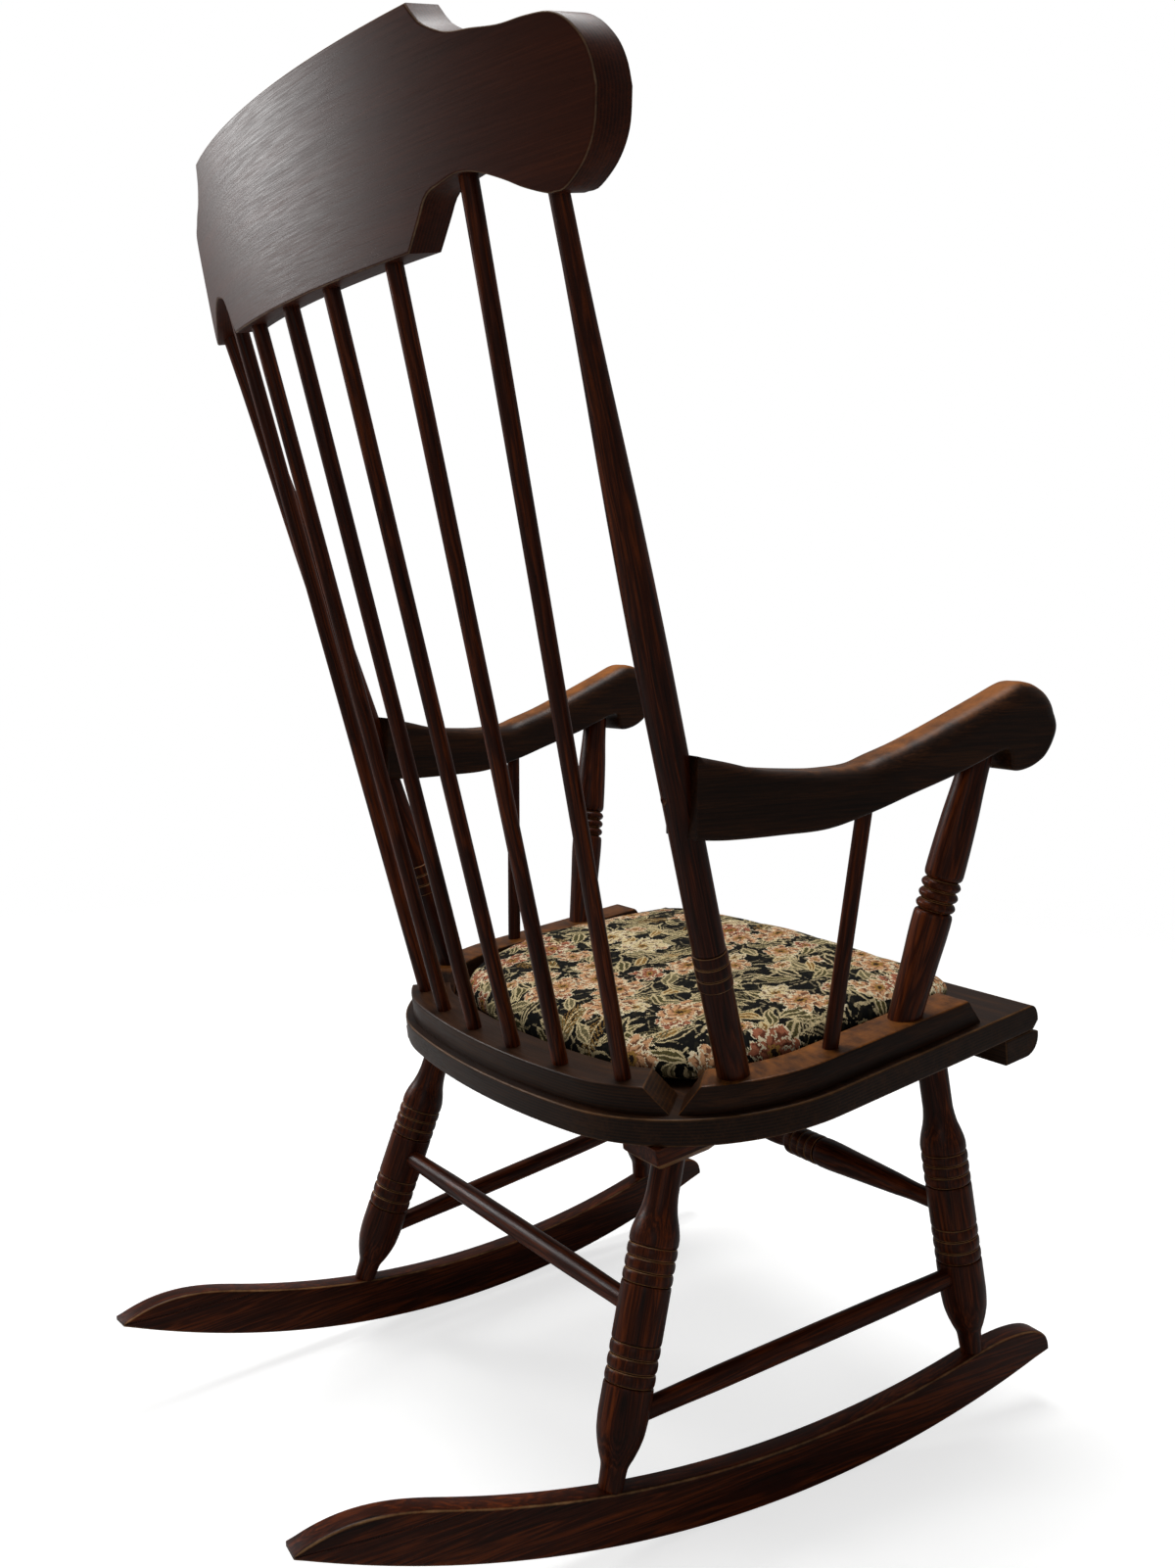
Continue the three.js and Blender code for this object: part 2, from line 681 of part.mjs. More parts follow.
function makeArm(name, frame) {
  const corners = [...ARM_SHARES, ...ARM_UNDER_SHARES].map(([along, up]) => (
    new THREE.Vector2((along - 1) * ARM_LENGTH - ARM_END_GAP, armLift(up))
  ));
  const outline = new THREE.SplineCurve(corners).getPoints(CURVE_STEPS * (corners.length - 1));
  return addMesh(frame, name, sideSlab(outline, ARM_WIDTH / 2), material(COLOURS.arm, 0.4));
}

function makeArmPost(name, sign, frame) {
  const foot = seatPoint(sideRailX(ARM_POST_FOOT) * sign, ARM_POST_FOOT, RAIL_HEIGHT);
  const head = placed(frame, 0, -ARM_POST_REACH, armLift(ARM_POST_HEAD_SHARE));
  const length = foot.distanceTo(head);
  const [low, high] = ARM_POST_RINGS_SHARE.map((share) => share * length);
  const headProfile = scaled(ARM_POST_HEAD_SHARES, length, ARM_POST_RADIUS);
  const profile = [
    [-ARM_POST_RADIUS, ARM_POST_FOOT_SHARES[0][1] * ARM_POST_RADIUS],
    ...scaled(ARM_POST_FOOT_SHARES, length, ARM_POST_RADIUS).slice(1),
    ...rings(low, high, 3, ARM_POST_RADIUS, ARM_POST_GROOVE_SHARE * ARM_POST_RADIUS),
    ...headProfile,
    [length + ARM_POST_HEAD_DEPTH, headProfile.at(-1)[1]],
  ];
  const post = addTurned(name, profile, POST_SIDES, foot, head);
  trimFoot(post);
  join(post, rod(-TENON_DEPTH, ARM_POST_RADIUS, ARM_POST_TENON_RADIUS, POST_SIDES));
  post.userData = { length, headRadius: headProfile.at(-1)[1] };
  return post;
}

function makeArmSpindle(name, sign, frame) {
  const foot = seatPoint(sideRailX(ARM_SPINDLE_FOOT) * sign, ARM_SPINDLE_FOOT, RAIL_HEIGHT);
  const head = placed(frame, 0, -ARM_SPINDLE_REACH, armLift(ARM_SPINDLE_HEAD_SHARE));
  const length = foot.distanceTo(head);
  const profile = [
    [-SPINDLE_FOOT_DEPTH, ARM_SPINDLE_RADIUS],
    [length + ARM_SPINDLE_HEAD_DEPTH, ARM_SPINDLE_RADIUS],
  ];
  const spindle = addTurned(name, profile, SPINDLE_SIDES, foot, head);
  spindle.userData.length = length;
  return spindle;
}

// Rockers are sawn to an arc about a centre above the chair's middle

const rockerStep = ROCKER_LENGTH / ROCKER_STEPS;

// The chair stands on the step of the arc that lies under its balance point, which is level with the floor
function rockerFloor(y) {
  return Math.sqrt(ROCKER_RADIUS ** 2 - (rockerStep / 2) ** 2)
    - Math.sqrt(ROCKER_RADIUS ** 2 - (y - ROCKER_BALANCE_Y) ** 2);
}

function rockerTop(y) {
  const nose = Math.max(0, (-y - ROCKER_LENGTH / 2 + ROCKER_NOSE) / ROCKER_NOSE);
  const tail = Math.max(0, (y - ROCKER_LENGTH / 2 + ROCKER_TAIL) / ROCKER_TAIL);
  const share = Math.sqrt(Math.max(0, 1 - nose ** 2)) * (1 - tail ** ROCKER_TAIL_POWER);
  return rockerFloor(y) + ROCKER_TIP + (ROCKER_HEIGHT - ROCKER_TIP) * share;
}

function rockerOutline(lift) {
  const end = ROCKER_LENGTH / 2;
  const underside = [-end];
  const top = [];
  for (let step = -ROCKER_STEPS; step <= ROCKER_STEPS; step += 1) {
    const y = ROCKER_BALANCE_Y + (step + 1 / 2) * rockerStep;
    if (Math.abs(y) < end - rockerStep / 3) {
      underside.push(y);
    }
  }
  underside.push(end);
  for (let step = 0; step <= ROCKER_STEPS; step += 1) {
    top.push(end * Math.cos(Math.PI * step / ROCKER_STEPS));
  }
  return [
    ...underside.map((y) => new THREE.Vector2(y, rockerFloor(y))),
    ...top.map((y) => new THREE.Vector2(y, rockerTop(y) + lift)),
  ];
}

function makeRocker(name, sign) {
  const rocker = addMesh(
    chair,
    name,
    sideSlab(rockerOutline(0), ROCKER_THICKNESS / 2),
    material(COLOURS.walnut, 0.4),
  );
  rocker.position.set(sign * ROCKER_HALF_TRACK, 0, 0);
  rocker.rotation.z = sign * THREE.MathUtils.degToRad(ROCKER_TOE_DEGREES);
  rocker.updateWorldMatrix(true, false);
  return rocker;
}

// Legs share one turning; their feet stand on the rockers

function legProfile(length, lowRingsShare) {
  const at = (shares) => scaled(shares, LEG_TURNING, LEG_RADIUS);
  const group = ([low, high]) => (
    rings(low * LEG_TURNING, high * LEG_TURNING, 3, LEG_RADIUS, LEG_GROOVE_DEPTH)
  );
  const foot = at(LEG_FOOT_SHARES);
  return [
    [-LEG_RADIUS / 2, foot[0][1]],
    ...foot.slice(1),
    ...group(lowRingsShare),
    ...group(LEG_HIGH_RINGS_SHARE),
    ...at(LEG_NECK_SHARES),
    [LEG_NECK_END_SHARE * LEG_TURNING, LEG_NECK_RADIUS],
    [length + LEG_HEAD_DEPTH, LEG_NECK_RADIUS],
  ];
}

function makeLeg(name, sign, footShare, lowRingsShare, spread, back) {
  const rocker = rockers[sideOf(sign)];
  const reach = -footShare * ROCKER_LENGTH;
  const foot = placed(rocker, 0, reach, rockerTop(reach));
  const head = seatPoint(spread * sign, back, -SEAT_THICKNESS);
  const length = foot.distanceTo(head);
  const leg = addTurned(name, legProfile(length, lowRingsShare), LEG_SIDES, foot, head);
  const lifted = sideSlab(rockerOutline(REST_GAP), ROCKER_THICKNESS);
  cut(leg, [{ geometry: lifted, frame: rocker }]);
  join(leg, rod(-LEG_TENON_DEPTH, LEG_RADIUS, LEG_TENON_RADIUS, SPINDLE_SIDES));
  leg.userData = { foot, head, length };
  return leg;
}

function onLeg(leg, lift) {
  return leg.userData.foot.clone().lerp(leg.userData.head, lift / leg.userData.length);
}

// A stretcher runs between the axes of two legs, and its ends stop inside them

function addStretcher(name, halfProfile, sides, from, to) {
  const half = from.distanceTo(to) / 2;
  const end = half - LEG_RADIUS + STRETCHER_DEPTH;
  const right = halfProfile(half, end);
  const left = right.map(([along, radius]) => [-along, radius]).reverse();
  const middle = right[0][0] === 0 ? right.slice(1) : right;
  const stretcher = addMesh(chair, name, turned([...left, ...middle], sides), material(COLOURS.walnut, 0.4));
  aim(stretcher, from.clone().lerp(to, 0.5), to);
  const endRadius = right.at(-1)[1];
  stretcher.userData.bores = [
    bore(stretcher, end - STRETCHER_DEPTH - OVERRUN, end + FIT_GAP, endRadius, sides),
    bore(stretcher, -end - FIT_GAP, -end + STRETCHER_DEPTH + OVERRUN, endRadius, sides),
  ];
  return stretcher;
}

function dowelProfile(half, end) {
  return [[0, DOWEL_RADIUS], [end - OVERRUN, DOWEL_END_RADIUS], [end, DOWEL_END_RADIUS]];
}

function frontStretcherProfile(half, end) {
  const [low, high] = STRETCHER_RINGS_SHARE.map((share) => share * half);
  return [
    ...scaled(STRETCHER_BULB_SHARES, half, FRONT_STRETCHER_RADIUS),
    ...rings(low, high, 4, FRONT_STRETCHER_RADIUS, FRONT_STRETCHER_GROOVE),
    ...scaled(STRETCHER_CONE_SHARES, half, FRONT_STRETCHER_RADIUS),
    [end - OVERRUN, DOWEL_END_RADIUS],
    [end, DOWEL_END_RADIUS],
  ];
}

// Blocks under the seat, with chamfered lower edges

function makeBlock(name, leg) {
  const ring = (inset, z) => [[1, 1], [-1, 1], [-1, -1], [1, -1]].map(([x, y]) => (
    new THREE.Vector3(x * (BLOCK_WIDTH / 2 - inset), y * (BLOCK_LENGTH / 2 - inset), z)
  ));
  const geometry = skin(
    [ring(BLOCK_CHAMFER, -BLOCK_HEIGHT), ring(0, BLOCK_CHAMFER - BLOCK_HEIGHT), ring(0, -REST_GAP)],
    new THREE.Vector3(0, 0, -BLOCK_HEIGHT),
    new THREE.Vector3(0, 0, -REST_GAP),
  );
  const block = addMesh(seat, name, geometry, material(COLOURS.walnut, 0.5));
  const middle = seat.worldToLocal(onLeg(leg, leg.userData.length - BLOCK_HEIGHT / 2));
  block.position.set(middle.x, middle.y, -SEAT_THICKNESS);
  return block;
}

// Countersunk screws point along their own +Z from the face that they are driven into

function screwProfile(length) {
  return [
    [0, SCREW_HEAD_RADIUS],
    [SCREW_HEAD_HEIGHT, SCREW_RADIUS],
    [length - SCREW_HEAD_HEIGHT, SCREW_RADIUS],
    [length, SCREW_RADIUS / 2],
  ];
}

function addScrew(name, parent, length, from, direction) {
  const geometry = turned(screwProfile(length), SCREW_SIDES);
  const screw = addMesh(parent, name, geometry, material(COLOURS.steel, 0.35, 1));
  aim(screw, from, from.clone().add(direction));
  const hole = [[-OVERRUN, SCREW_HEAD_RADIUS], ...screwProfile(length), [length + FIT_GAP, SCREW_RADIUS / 2]];
  screw.userData.hole = { geometry: turned(grown(hole, FIT_GAP), SCREW_SIDES), frame: screw };
  return screw;
}

function addSeatScrew(name, length, across, back, drop) {
  return addScrew(name, seat, length, new THREE.Vector3(across, back, -drop), new THREE.Vector3(0, 0, 1));
}

// Cushion

function cushionEdge(inset) {
  const reach = CUSHION_FRONT + inset;
  const corner = CUSHION_CORNER_RADIUS - inset;
  const side = RAIL_SETBACK + SIDE_RAIL_WIDTH + CUSHION_SIDE_GAP;
  const cornerBack = CUSHION_FRONT + CUSHION_CORNER_RADIUS;
  const cornerX = sideX(side, cornerBack) - CUSHION_CORNER_RADIUS;
  const rearInset = RAIL_SETBACK + BACK_RAIL_WIDTH + CUSHION_REAR_GAP + inset;
  const front = [0, 0.35, 0.7].map((share) => (
    new THREE.Vector2(share * cornerX, reach + CUSHION_DRAW * Math.cos(share * Math.PI / 2))
  ));
  const frontCorner = arc(cornerX, cornerBack, corner, -Math.PI / 2, 0, 3);
  const rearStart = new THREE.Vector2(sideX(side + inset, cornerCentre), cornerCentre);
  const sideMiddle = frontCorner.at(-1).clone().lerp(rearStart, 0.5);
  sideMiddle.x -= CUSHION_DRAW;
  const rearCorner = arc(SEAT_CORNER_SPREAD, cornerCentre, SEAT_CORNER_RADIUS - rearInset, 0, backAngle, 3);
  const rear = [rearStart, ...rearCorner.slice(1), ...backArc(rearInset).slice(1)];
  return joinedHalves([...front, ...frontCorner, sideMiddle, ...rear]).slice(0, -1);
}

// The cushion's surface, moved inwards by an offset
function cushionBody(offset) {
  const low = REST_GAP + offset;
  const rise = CUSHION_CROWN - offset - low;
  const lifted = (points, share) => points.map(({ x, y }) => new THREE.Vector3(x, y, low + rise * share));
  const rounds = CUSHION_SIDE_SHARES.map(([inward, up]) => (
    lifted(cushionEdge(inward * CUSHION_ROUND + offset), up)
  ));
  const middle = new THREE.Vector2(0, (CUSHION_FRONT + SEAT_DEPTH) / 2);
  const inner = cushionEdge(CUSHION_ROUND + offset);
  const tops = CUSHION_TOP_SHARES.map(([kept, up]) => (
    lifted(inner.map((point) => middle.clone().lerp(point, kept)), up)
  ));
  return skin(
    [...rounds, ...tops],
    new THREE.Vector3(middle.x, middle.y, low),
    new THREE.Vector3(middle.x, middle.y, low + rise),
  );
}

// A strip along the cushion's rear arc, between two distances from it and two angles from its middle
function rearStrip(innerOffset, outerOffset, fromAngle, toAngle, bottom, top) {
  const radius = SEAT_BACK_RADIUS - RAIL_SETBACK - BACK_RAIL_WIDTH - CUSHION_REAR_GAP;
  const span = [Math.PI / 2 + fromAngle, Math.PI / 2 + toAngle];
  const outline = [
    ...arc(0, backCentre, radius + outerOffset, span[0], span[1], ZIP_STEPS),
    ...arc(0, backCentre, radius + innerOffset, span[1], span[0], ZIP_STEPS),
  ];
  return slab(outline, bottom, top);
}

function makeCushion() {
  const radius = SEAT_BACK_RADIUS - RAIL_SETBACK - BACK_RAIL_WIDTH - CUSHION_REAR_GAP;
  const halfAngle = ZIP_LENGTH / 2 / radius;
  const gapAngle = FIT_GAP / radius;
  const zipTop = ZIP_LIFT + ZIP_HEIGHT;
  const cover = addMesh(seat, 'cushion_cover', cushionBody(0), material(COLOURS.tapestry, 0.95));
  const slot = rearStrip(
    -ZIP_THICKNESS - OVERRUN / 2,
    OVERRUN,
    -halfAngle - gapAngle,
    halfAngle + gapAngle,
    ZIP_LIFT - FIT_GAP,
    zipTop + FIT_GAP,
  );
  cut(cover, [{ geometry: cushionBody(COVER_THICKNESS), frame: seat }, { geometry: slot, frame: seat }]);
  addMesh(seat, 'cushion_foam', cushionBody(COVER_THICKNESS + FIT_GAP), material(COLOURS.foam, 0.9));
  const proud = ZIP_THICKNESS - COVER_THICKNESS;
  const chain = rearStrip(-COVER_THICKNESS, proud, -halfAngle, halfAngle, ZIP_LIFT, zipTop);
  addMesh(seat, 'zip_chain', chain, material(COLOURS.zip, 0.5));
  const back = proud + REST_GAP;
  const middle = (ZIP_LIFT + zipTop) / 2;
  const end = halfAngle - SLIDER_LENGTH / radius;
  const bodyStrip = rearStrip(
    back,
    back + SLIDER_THICKNESS,
    end - SLIDER_LENGTH / radius,
    end,
    middle - SLIDER_HEIGHT / 2,
    middle + SLIDER_HEIGHT / 2,
  );
  const slider = addMesh(seat, 'zip_slider', bodyStrip, material(COLOURS.zip, 0.35, 1));
  join(slider, rearStrip(
    back,
    back + PULL_THICKNESS,
    end - (SLIDER_LENGTH + PULL_LENGTH) / radius,
    end - SLIDER_LENGTH / 2 / radius,
    middle - PULL_HEIGHT / 2,
    middle + PULL_HEIGHT / 2,
  ));
}

// Assembly

const seatBoard = makeSeat();
const roll = makeRoll();
const backRail = makeBackRail();
const crestRail = makeCrest();
const sideRails = pair('side_rail', makeSideRail);
const posts = pair('back_post', makePost);
const spindles = [-1, 1].flatMap((sign) => [0, 1, 2].map((step) => (
  makeBackSpindle(sign < 0 ? 3 - step : 4 + step, sign, step)
)));
const armFrames = [-1, 1].map(makeArmFrame);
const sideOf = (sign) => (sign + 1) / 2;
const arms = pair('arm', (name, sign) => makeArm(name, armFrames[sideOf(sign)]));
const armPosts = pair('arm_post', (name, sign) => makeArmPost(name, sign, armFrames[sideOf(sign)]));
const armSpindles = pair('arm_spindle', (name, sign) => makeArmSpindle(name, sign, armFrames[sideOf(sign)]));
const rockers = pair('rocker', makeRocker);
const rearLegs = pair('leg_rear', (name, sign) => makeLeg(
  name,
  sign,
  REAR_FOOT_SHARE,
  REAR_LEG_LOW_RINGS_SHARE,
  REAR_LEG_SPREAD,
  SEAT_DEPTH - REAR_LEG_SETBACK,
));
const frontLegs = pair('leg_front', (name, sign) => makeLeg(
  name,
  sign,
  FRONT_FOOT_SHARE,
  FRONT_LEG_LOW_RINGS_SHARE,
  FRONT_LEG_SPREAD,
  FRONT_LEG_BACK,
));
const blocks = pair('leg_block', (name, sign) => makeBlock(name, rearLegs[sideOf(sign)]));
const rearStretcher = addStretcher(
  'rear_stretcher',
  dowelProfile,
  SPINDLE_SIDES,
  ...rearLegs.map((leg) => onLeg(leg, REAR_STRETCHER_LIFT)),
);
const frontStretcher = addStretcher(
  'front_stretcher',
  frontStretcherProfile,
  POST_SIDES,
  ...frontLegs.map((leg) => onLeg(leg, FRONT_STRETCHER_LIFT)),
);
const sideStretchers = pair('side_stretcher', (name, sign) => addStretcher(
  name,
  dowelProfile,
  SPINDLE_SIDES,
  onLeg(rearLegs[sideOf(sign)], SIDE_STRETCHER_REAR_LIFT),
  onLeg(frontLegs[sideOf(sign)], SIDE_STRETCHER_FRONT_LIFT),
));
makeCushion();

// Screws

const rollBottom = SEAT_THICKNESS + REST_GAP + ROLL_HEIGHT;
const sideRailScrews = pair('side_rail_screw', (name, sign) => SIDE_RAIL_SCREWS.map((back, k) => (
  addSeatScrew(`${name}_${k + 1}`, RAIL_SCREW_LENGTH, sideRailX(back) * sign, back, SEAT_THICKNESS)
)));
const backRailScrews = pair('back_rail_screw', (name, sign) => addSeatScrew(
  name,
  RAIL_SCREW_LENGTH,
  BACK_RAIL_SCREW_SPREAD * sign,
  rearEdge(RAIL_SETBACK + BACK_RAIL_WIDTH / 2, BACK_RAIL_SCREW_SPREAD),
  SEAT_THICKNESS,
));
const rollScrews = pair('roll_screw', (name, sign) => addSeatScrew(
  name,
  ROLL_SCREW_LENGTH,
  ROLL_SCREW_SPREAD * sign,
  (ROLL_DEPTH + ROLL_ROUND - NOSE_REACH) / 2,
  rollBottom,
));
const blockScrews = pair('leg_block_screw', (name, sign) => {
  const block = blocks[sideOf(sign)];
  const back = block.position.y - BLOCK_SCREW_REACH;
  const across = block.position.x + BLOCK_SCREW_SPREAD * sign;
  return addSeatScrew(name, BLOCK_SCREW_LENGTH, across, back, SEAT_THICKNESS + BLOCK_HEIGHT);
});
const plugStart = POST_RADIUS + PLUG_PROUD;
const forward = new THREE.Vector3(0, -1, 0);
const armScrews = pair('arm_screw', (name, sign) => {
  const head = new THREE.Vector3(0, plugStart - PLUG_HEIGHT - REST_GAP, 0);
  return addScrew(name, armFrames[sideOf(sign)], ARM_SCREW_LENGTH, head, forward);
});
const plugs = pair('arm_plug', (name, sign) => {
  const geometry = rod(0, PLUG_HEIGHT, PLUG_RADIUS, POST_SIDES);
  const plug = addMesh(armFrames[sideOf(sign)], name, geometry, material(COLOURS.walnut, 0.5));
  const head = new THREE.Vector3(0, plugStart, 0);
  aim(plug, head, head.clone().add(forward));
  return plug;
});

// Holes, sockets and the hollow in which each arm meets its post

const holes = (screws) => screws.map((screw) => screw.userData.hole);
const postTenons = posts.map((post) => (
  bore(post, -TENON_DEPTH - FIT_GAP, POST_RADIUS, POST_TENON_RADIUS, POST_SIDES)
));
const armPostTenons = armPosts.map((post) => (
  bore(post, -TENON_DEPTH - FIT_GAP, POST_RADIUS, ARM_POST_TENON_RADIUS, POST_SIDES)
));
const legHeads = [...rearLegs, ...frontLegs].map((leg) => {
  const { length } = leg.userData;
  const top = length + LEG_HEAD_DEPTH + FIT_GAP;
  return bore(leg, length - BLOCK_HEIGHT - OVERRUN, top, LEG_NECK_RADIUS, LEG_SIDES);
});

cut(seatBoard, [
  ...postTenons,
  ...armPostTenons,
  ...legHeads,
  ...holes([...sideRailScrews.flat(), ...backRailScrews, ...rollScrews, ...blockScrews]),
]);
cut(roll, holes(rollScrews));
cut(backRail, [
  ...spindles.map((spindle) => (
    bore(spindle, -SPINDLE_FOOT_DEPTH - FIT_GAP, OVERRUN, SPINDLE_RADIUS, SPINDLE_SIDES)
  )),
  ...holes(backRailScrews),
]);
sideRails.forEach((rail, k) => cut(rail, [
  postTenons[k],
  armPostTenons[k],
  bore(armSpindles[k], -SPINDLE_FOOT_DEPTH - FIT_GAP, OVERRUN, ARM_SPINDLE_RADIUS, SPINDLE_SIDES),
  ...holes(sideRailScrews[k]),
]));
cut(crestRail, [
  ...posts.map((post) => (
    bore(post, postLength - OVERRUN, postLength + POST_TIP_DEPTH + FIT_GAP, POST_TIP_RADIUS, POST_SIDES)
  )),
  ...spindles.map((spindle) => {
    const { length } = spindle.userData;
    const top = length + SPINDLE_HEAD_DEPTH + FIT_GAP;
    return bore(spindle, length - OVERRUN, top, SPINDLE_RADIUS, SPINDLE_SIDES);
  }),
]);
arms.forEach((arm, k) => {
  const post = armPosts[k].userData;
  const postTop = post.length + ARM_POST_HEAD_DEPTH + FIT_GAP;
  const { length } = armSpindles[k].userData;
  const spindleTop = length + ARM_SPINDLE_HEAD_DEPTH + FIT_GAP;
  cut(arm, [
    bore(posts[k], ARM_JOINT_LIFT - ARM_RISE, ARM_JOINT_LIFT + ARM_RISE, POST_RADIUS, POST_SIDES),
    bore(armPosts[k], post.length - OVERRUN, postTop, post.headRadius, POST_SIDES),
    bore(armSpindles[k], length - OVERRUN, spindleTop, ARM_SPINDLE_RADIUS, SPINDLE_SIDES),
    armScrews[k].userData.hole,
  ]);
  cut(posts[k], [
    armScrews[k].userData.hole,
    bore(plugs[k], -OVERRUN, PLUG_HEIGHT + REST_GAP, PLUG_RADIUS, POST_SIDES),
  ]);
});
rockers.forEach((rocker, k) => cut(rocker, [rearLegs[k], frontLegs[k]].map((leg) => (
  bore(leg, -LEG_TENON_DEPTH - FIT_GAP, OVERRUN, LEG_TENON_RADIUS, SPINDLE_SIDES)
))));
blocks.forEach((block, k) => cut(block, [legHeads[k], ...holes([blockScrews[k]])]));
rearLegs.forEach((leg, k) => {
  cut(leg, [rearStretcher.userData.bores[1 - k], sideStretchers[k].userData.bores[1]]);
});
frontLegs.forEach((leg, k) => {
  cut(leg, [frontStretcher.userData.bores[1 - k], sideStretchers[k].userData.bores[0]]);
});

export default chair;
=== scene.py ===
"""Looks of a rocking chair with a spindle back and a loose tapestry cushion, laid out as an add-on.

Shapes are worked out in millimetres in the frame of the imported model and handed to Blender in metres.
"""

import math
from functools import partial

import bmesh
import bpy
import numpy as np
from bpy.props import FloatProperty, IntProperty, PointerProperty
from mathutils import Matrix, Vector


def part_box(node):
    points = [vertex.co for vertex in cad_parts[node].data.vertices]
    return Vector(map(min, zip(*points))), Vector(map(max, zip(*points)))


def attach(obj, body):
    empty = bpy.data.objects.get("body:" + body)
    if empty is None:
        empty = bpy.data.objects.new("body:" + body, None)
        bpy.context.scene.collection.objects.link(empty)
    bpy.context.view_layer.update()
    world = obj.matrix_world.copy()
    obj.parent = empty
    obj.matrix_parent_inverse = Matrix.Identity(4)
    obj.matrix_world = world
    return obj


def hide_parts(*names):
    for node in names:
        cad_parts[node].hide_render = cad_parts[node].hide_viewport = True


bl_info = {
    "name": "Spindle-back rocking chair",
    "version": (1, 0, 0),
    "blender": (4, 5, 0),
    "location": "3D View > Sidebar > Rocking chair",
    "description": "Dresses the packed rocking chair in turned, bent and sawn wood with a tapestry cushion",
    "category": "Object",
}

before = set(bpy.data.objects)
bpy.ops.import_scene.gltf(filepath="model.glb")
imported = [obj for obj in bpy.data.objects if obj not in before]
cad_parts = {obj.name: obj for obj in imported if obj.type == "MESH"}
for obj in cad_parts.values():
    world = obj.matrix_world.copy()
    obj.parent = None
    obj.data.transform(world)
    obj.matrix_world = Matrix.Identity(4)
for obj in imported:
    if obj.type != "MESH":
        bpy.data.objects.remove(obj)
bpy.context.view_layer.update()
MM = 0.001


# Frames and measures of the chair, in millimetres


def moved(x, y, z):
    """A shift as a 4x4 matrix."""
    matrix = np.eye(4)
    matrix[:3, 3] = x, y, z
    return matrix


def turned(axis, degrees):
    """A turn about one axis, 0 for X to 2 for Z, as a 4x4 matrix."""
    a, b = (axis + 1) % 3, (axis + 2) % 3
    c, s = math.cos(math.radians(degrees)), math.sin(math.radians(degrees))
    matrix = np.eye(4)
    matrix[a, a], matrix[a, b], matrix[b, a], matrix[b, b] = c, -s, s, c
    return matrix


def carried(matrix, points):
    """Points taken through a 4x4 matrix."""
    return np.asarray(points, float) @ matrix[:3, :3].T + matrix[:3, 3]


SEAT_FRONT_Y, SEAT_FRONT_HEIGHT, SEAT_TILT = -303.2, 366.2, 7.03
CREST_SETBACK, CREST_LIFT, CREST_LEAN = 453.5, 624.0, 2.87
SEAT = moved(0, SEAT_FRONT_Y, SEAT_FRONT_HEIGHT) @ turned(0, -SEAT_TILT)
CREST = SEAT @ moved(0, CREST_SETBACK, CREST_LIFT) @ turned(0, -CREST_LEAN)
SIDES = {-1: "right", 1: "left"}

SEAT_HALF_WIDTH, SEAT_DEPTH, SEAT_THICKNESS, SEAT_EDGE = 256.0, 399.4, 21.9, 1.8
CORNER_RADIUS, CORNER_SPREAD, BACK_RADIUS = 160.4, 100.7, 800.0
BACK_CENTRE = SEAT_DEPTH - BACK_RADIUS
CORNER_CENTRE = BACK_CENTRE + math.sqrt((BACK_RADIUS - CORNER_RADIUS) ** 2 - CORNER_SPREAD**2)
BACK_ANGLE = math.atan2(CORNER_CENTRE - BACK_CENTRE, CORNER_SPREAD)
SIDE_ANGLE = math.acos(CORNER_RADIUS / math.hypot(SEAT_HALF_WIDTH - CORNER_SPREAD, CORNER_CENTRE)) - math.atan2(
    CORNER_CENTRE, SEAT_HALF_WIDTH - CORNER_SPREAD
)
NOSE_REACH, NOSE_DROP, NOSE_FLAT, SLOPE_ROW, FACE_INSET = 8.0, 12.0, 2.5, -16.5, 0.5
ROLL_DEPTH, ROLL_HEIGHT, ROLL_ROUND, ROLL_NOTCH, ROLL_EDGE, ROLL_ROW = 34.0, 21.5, 17.0, 2.5, 1.6, 9.0
REST_GAP = 0.3

RAIL_HEIGHT, RAIL_SETBACK, BACK_RAIL_WIDTH, SIDE_RAIL_WIDTH = 22.0, 8.0, 38.0, 35.0
RAIL_EDGE, RAIL_END_EDGE, RAIL_GRAIN_LENGTH = 2.2, 1.2, 480.0
SIDE_RAIL_FRONT, SIDE_RAIL_BEVEL, RAIL_END_GAP, RAIL_END_SLOPE = 55.0, 13.0, 5.0, 19.0 / 22.0
RAIL_END_ANGLE = math.radians(47.5)
RAIL_END_TURN = RAIL_END_GAP / 2 / (CORNER_RADIUS - RAIL_SETBACK - BACK_RAIL_WIDTH / 2)

BLOCK_HALF_WIDTH, BLOCK_HALF_LENGTH, BLOCK_ROUND = 23.0, 31.0, 2.0
# Of the leg block's rings, the height under the seat, how far they are drawn in and how worn they are
BLOCK_ROWS = ((-20, 8, 0.2), (-20, 7, 0.5), (-19.4, 6.3, 1), (-13.6, 0.6, 1), (-12.6, 0, 0.4), (-0.3, 0, 0.1))

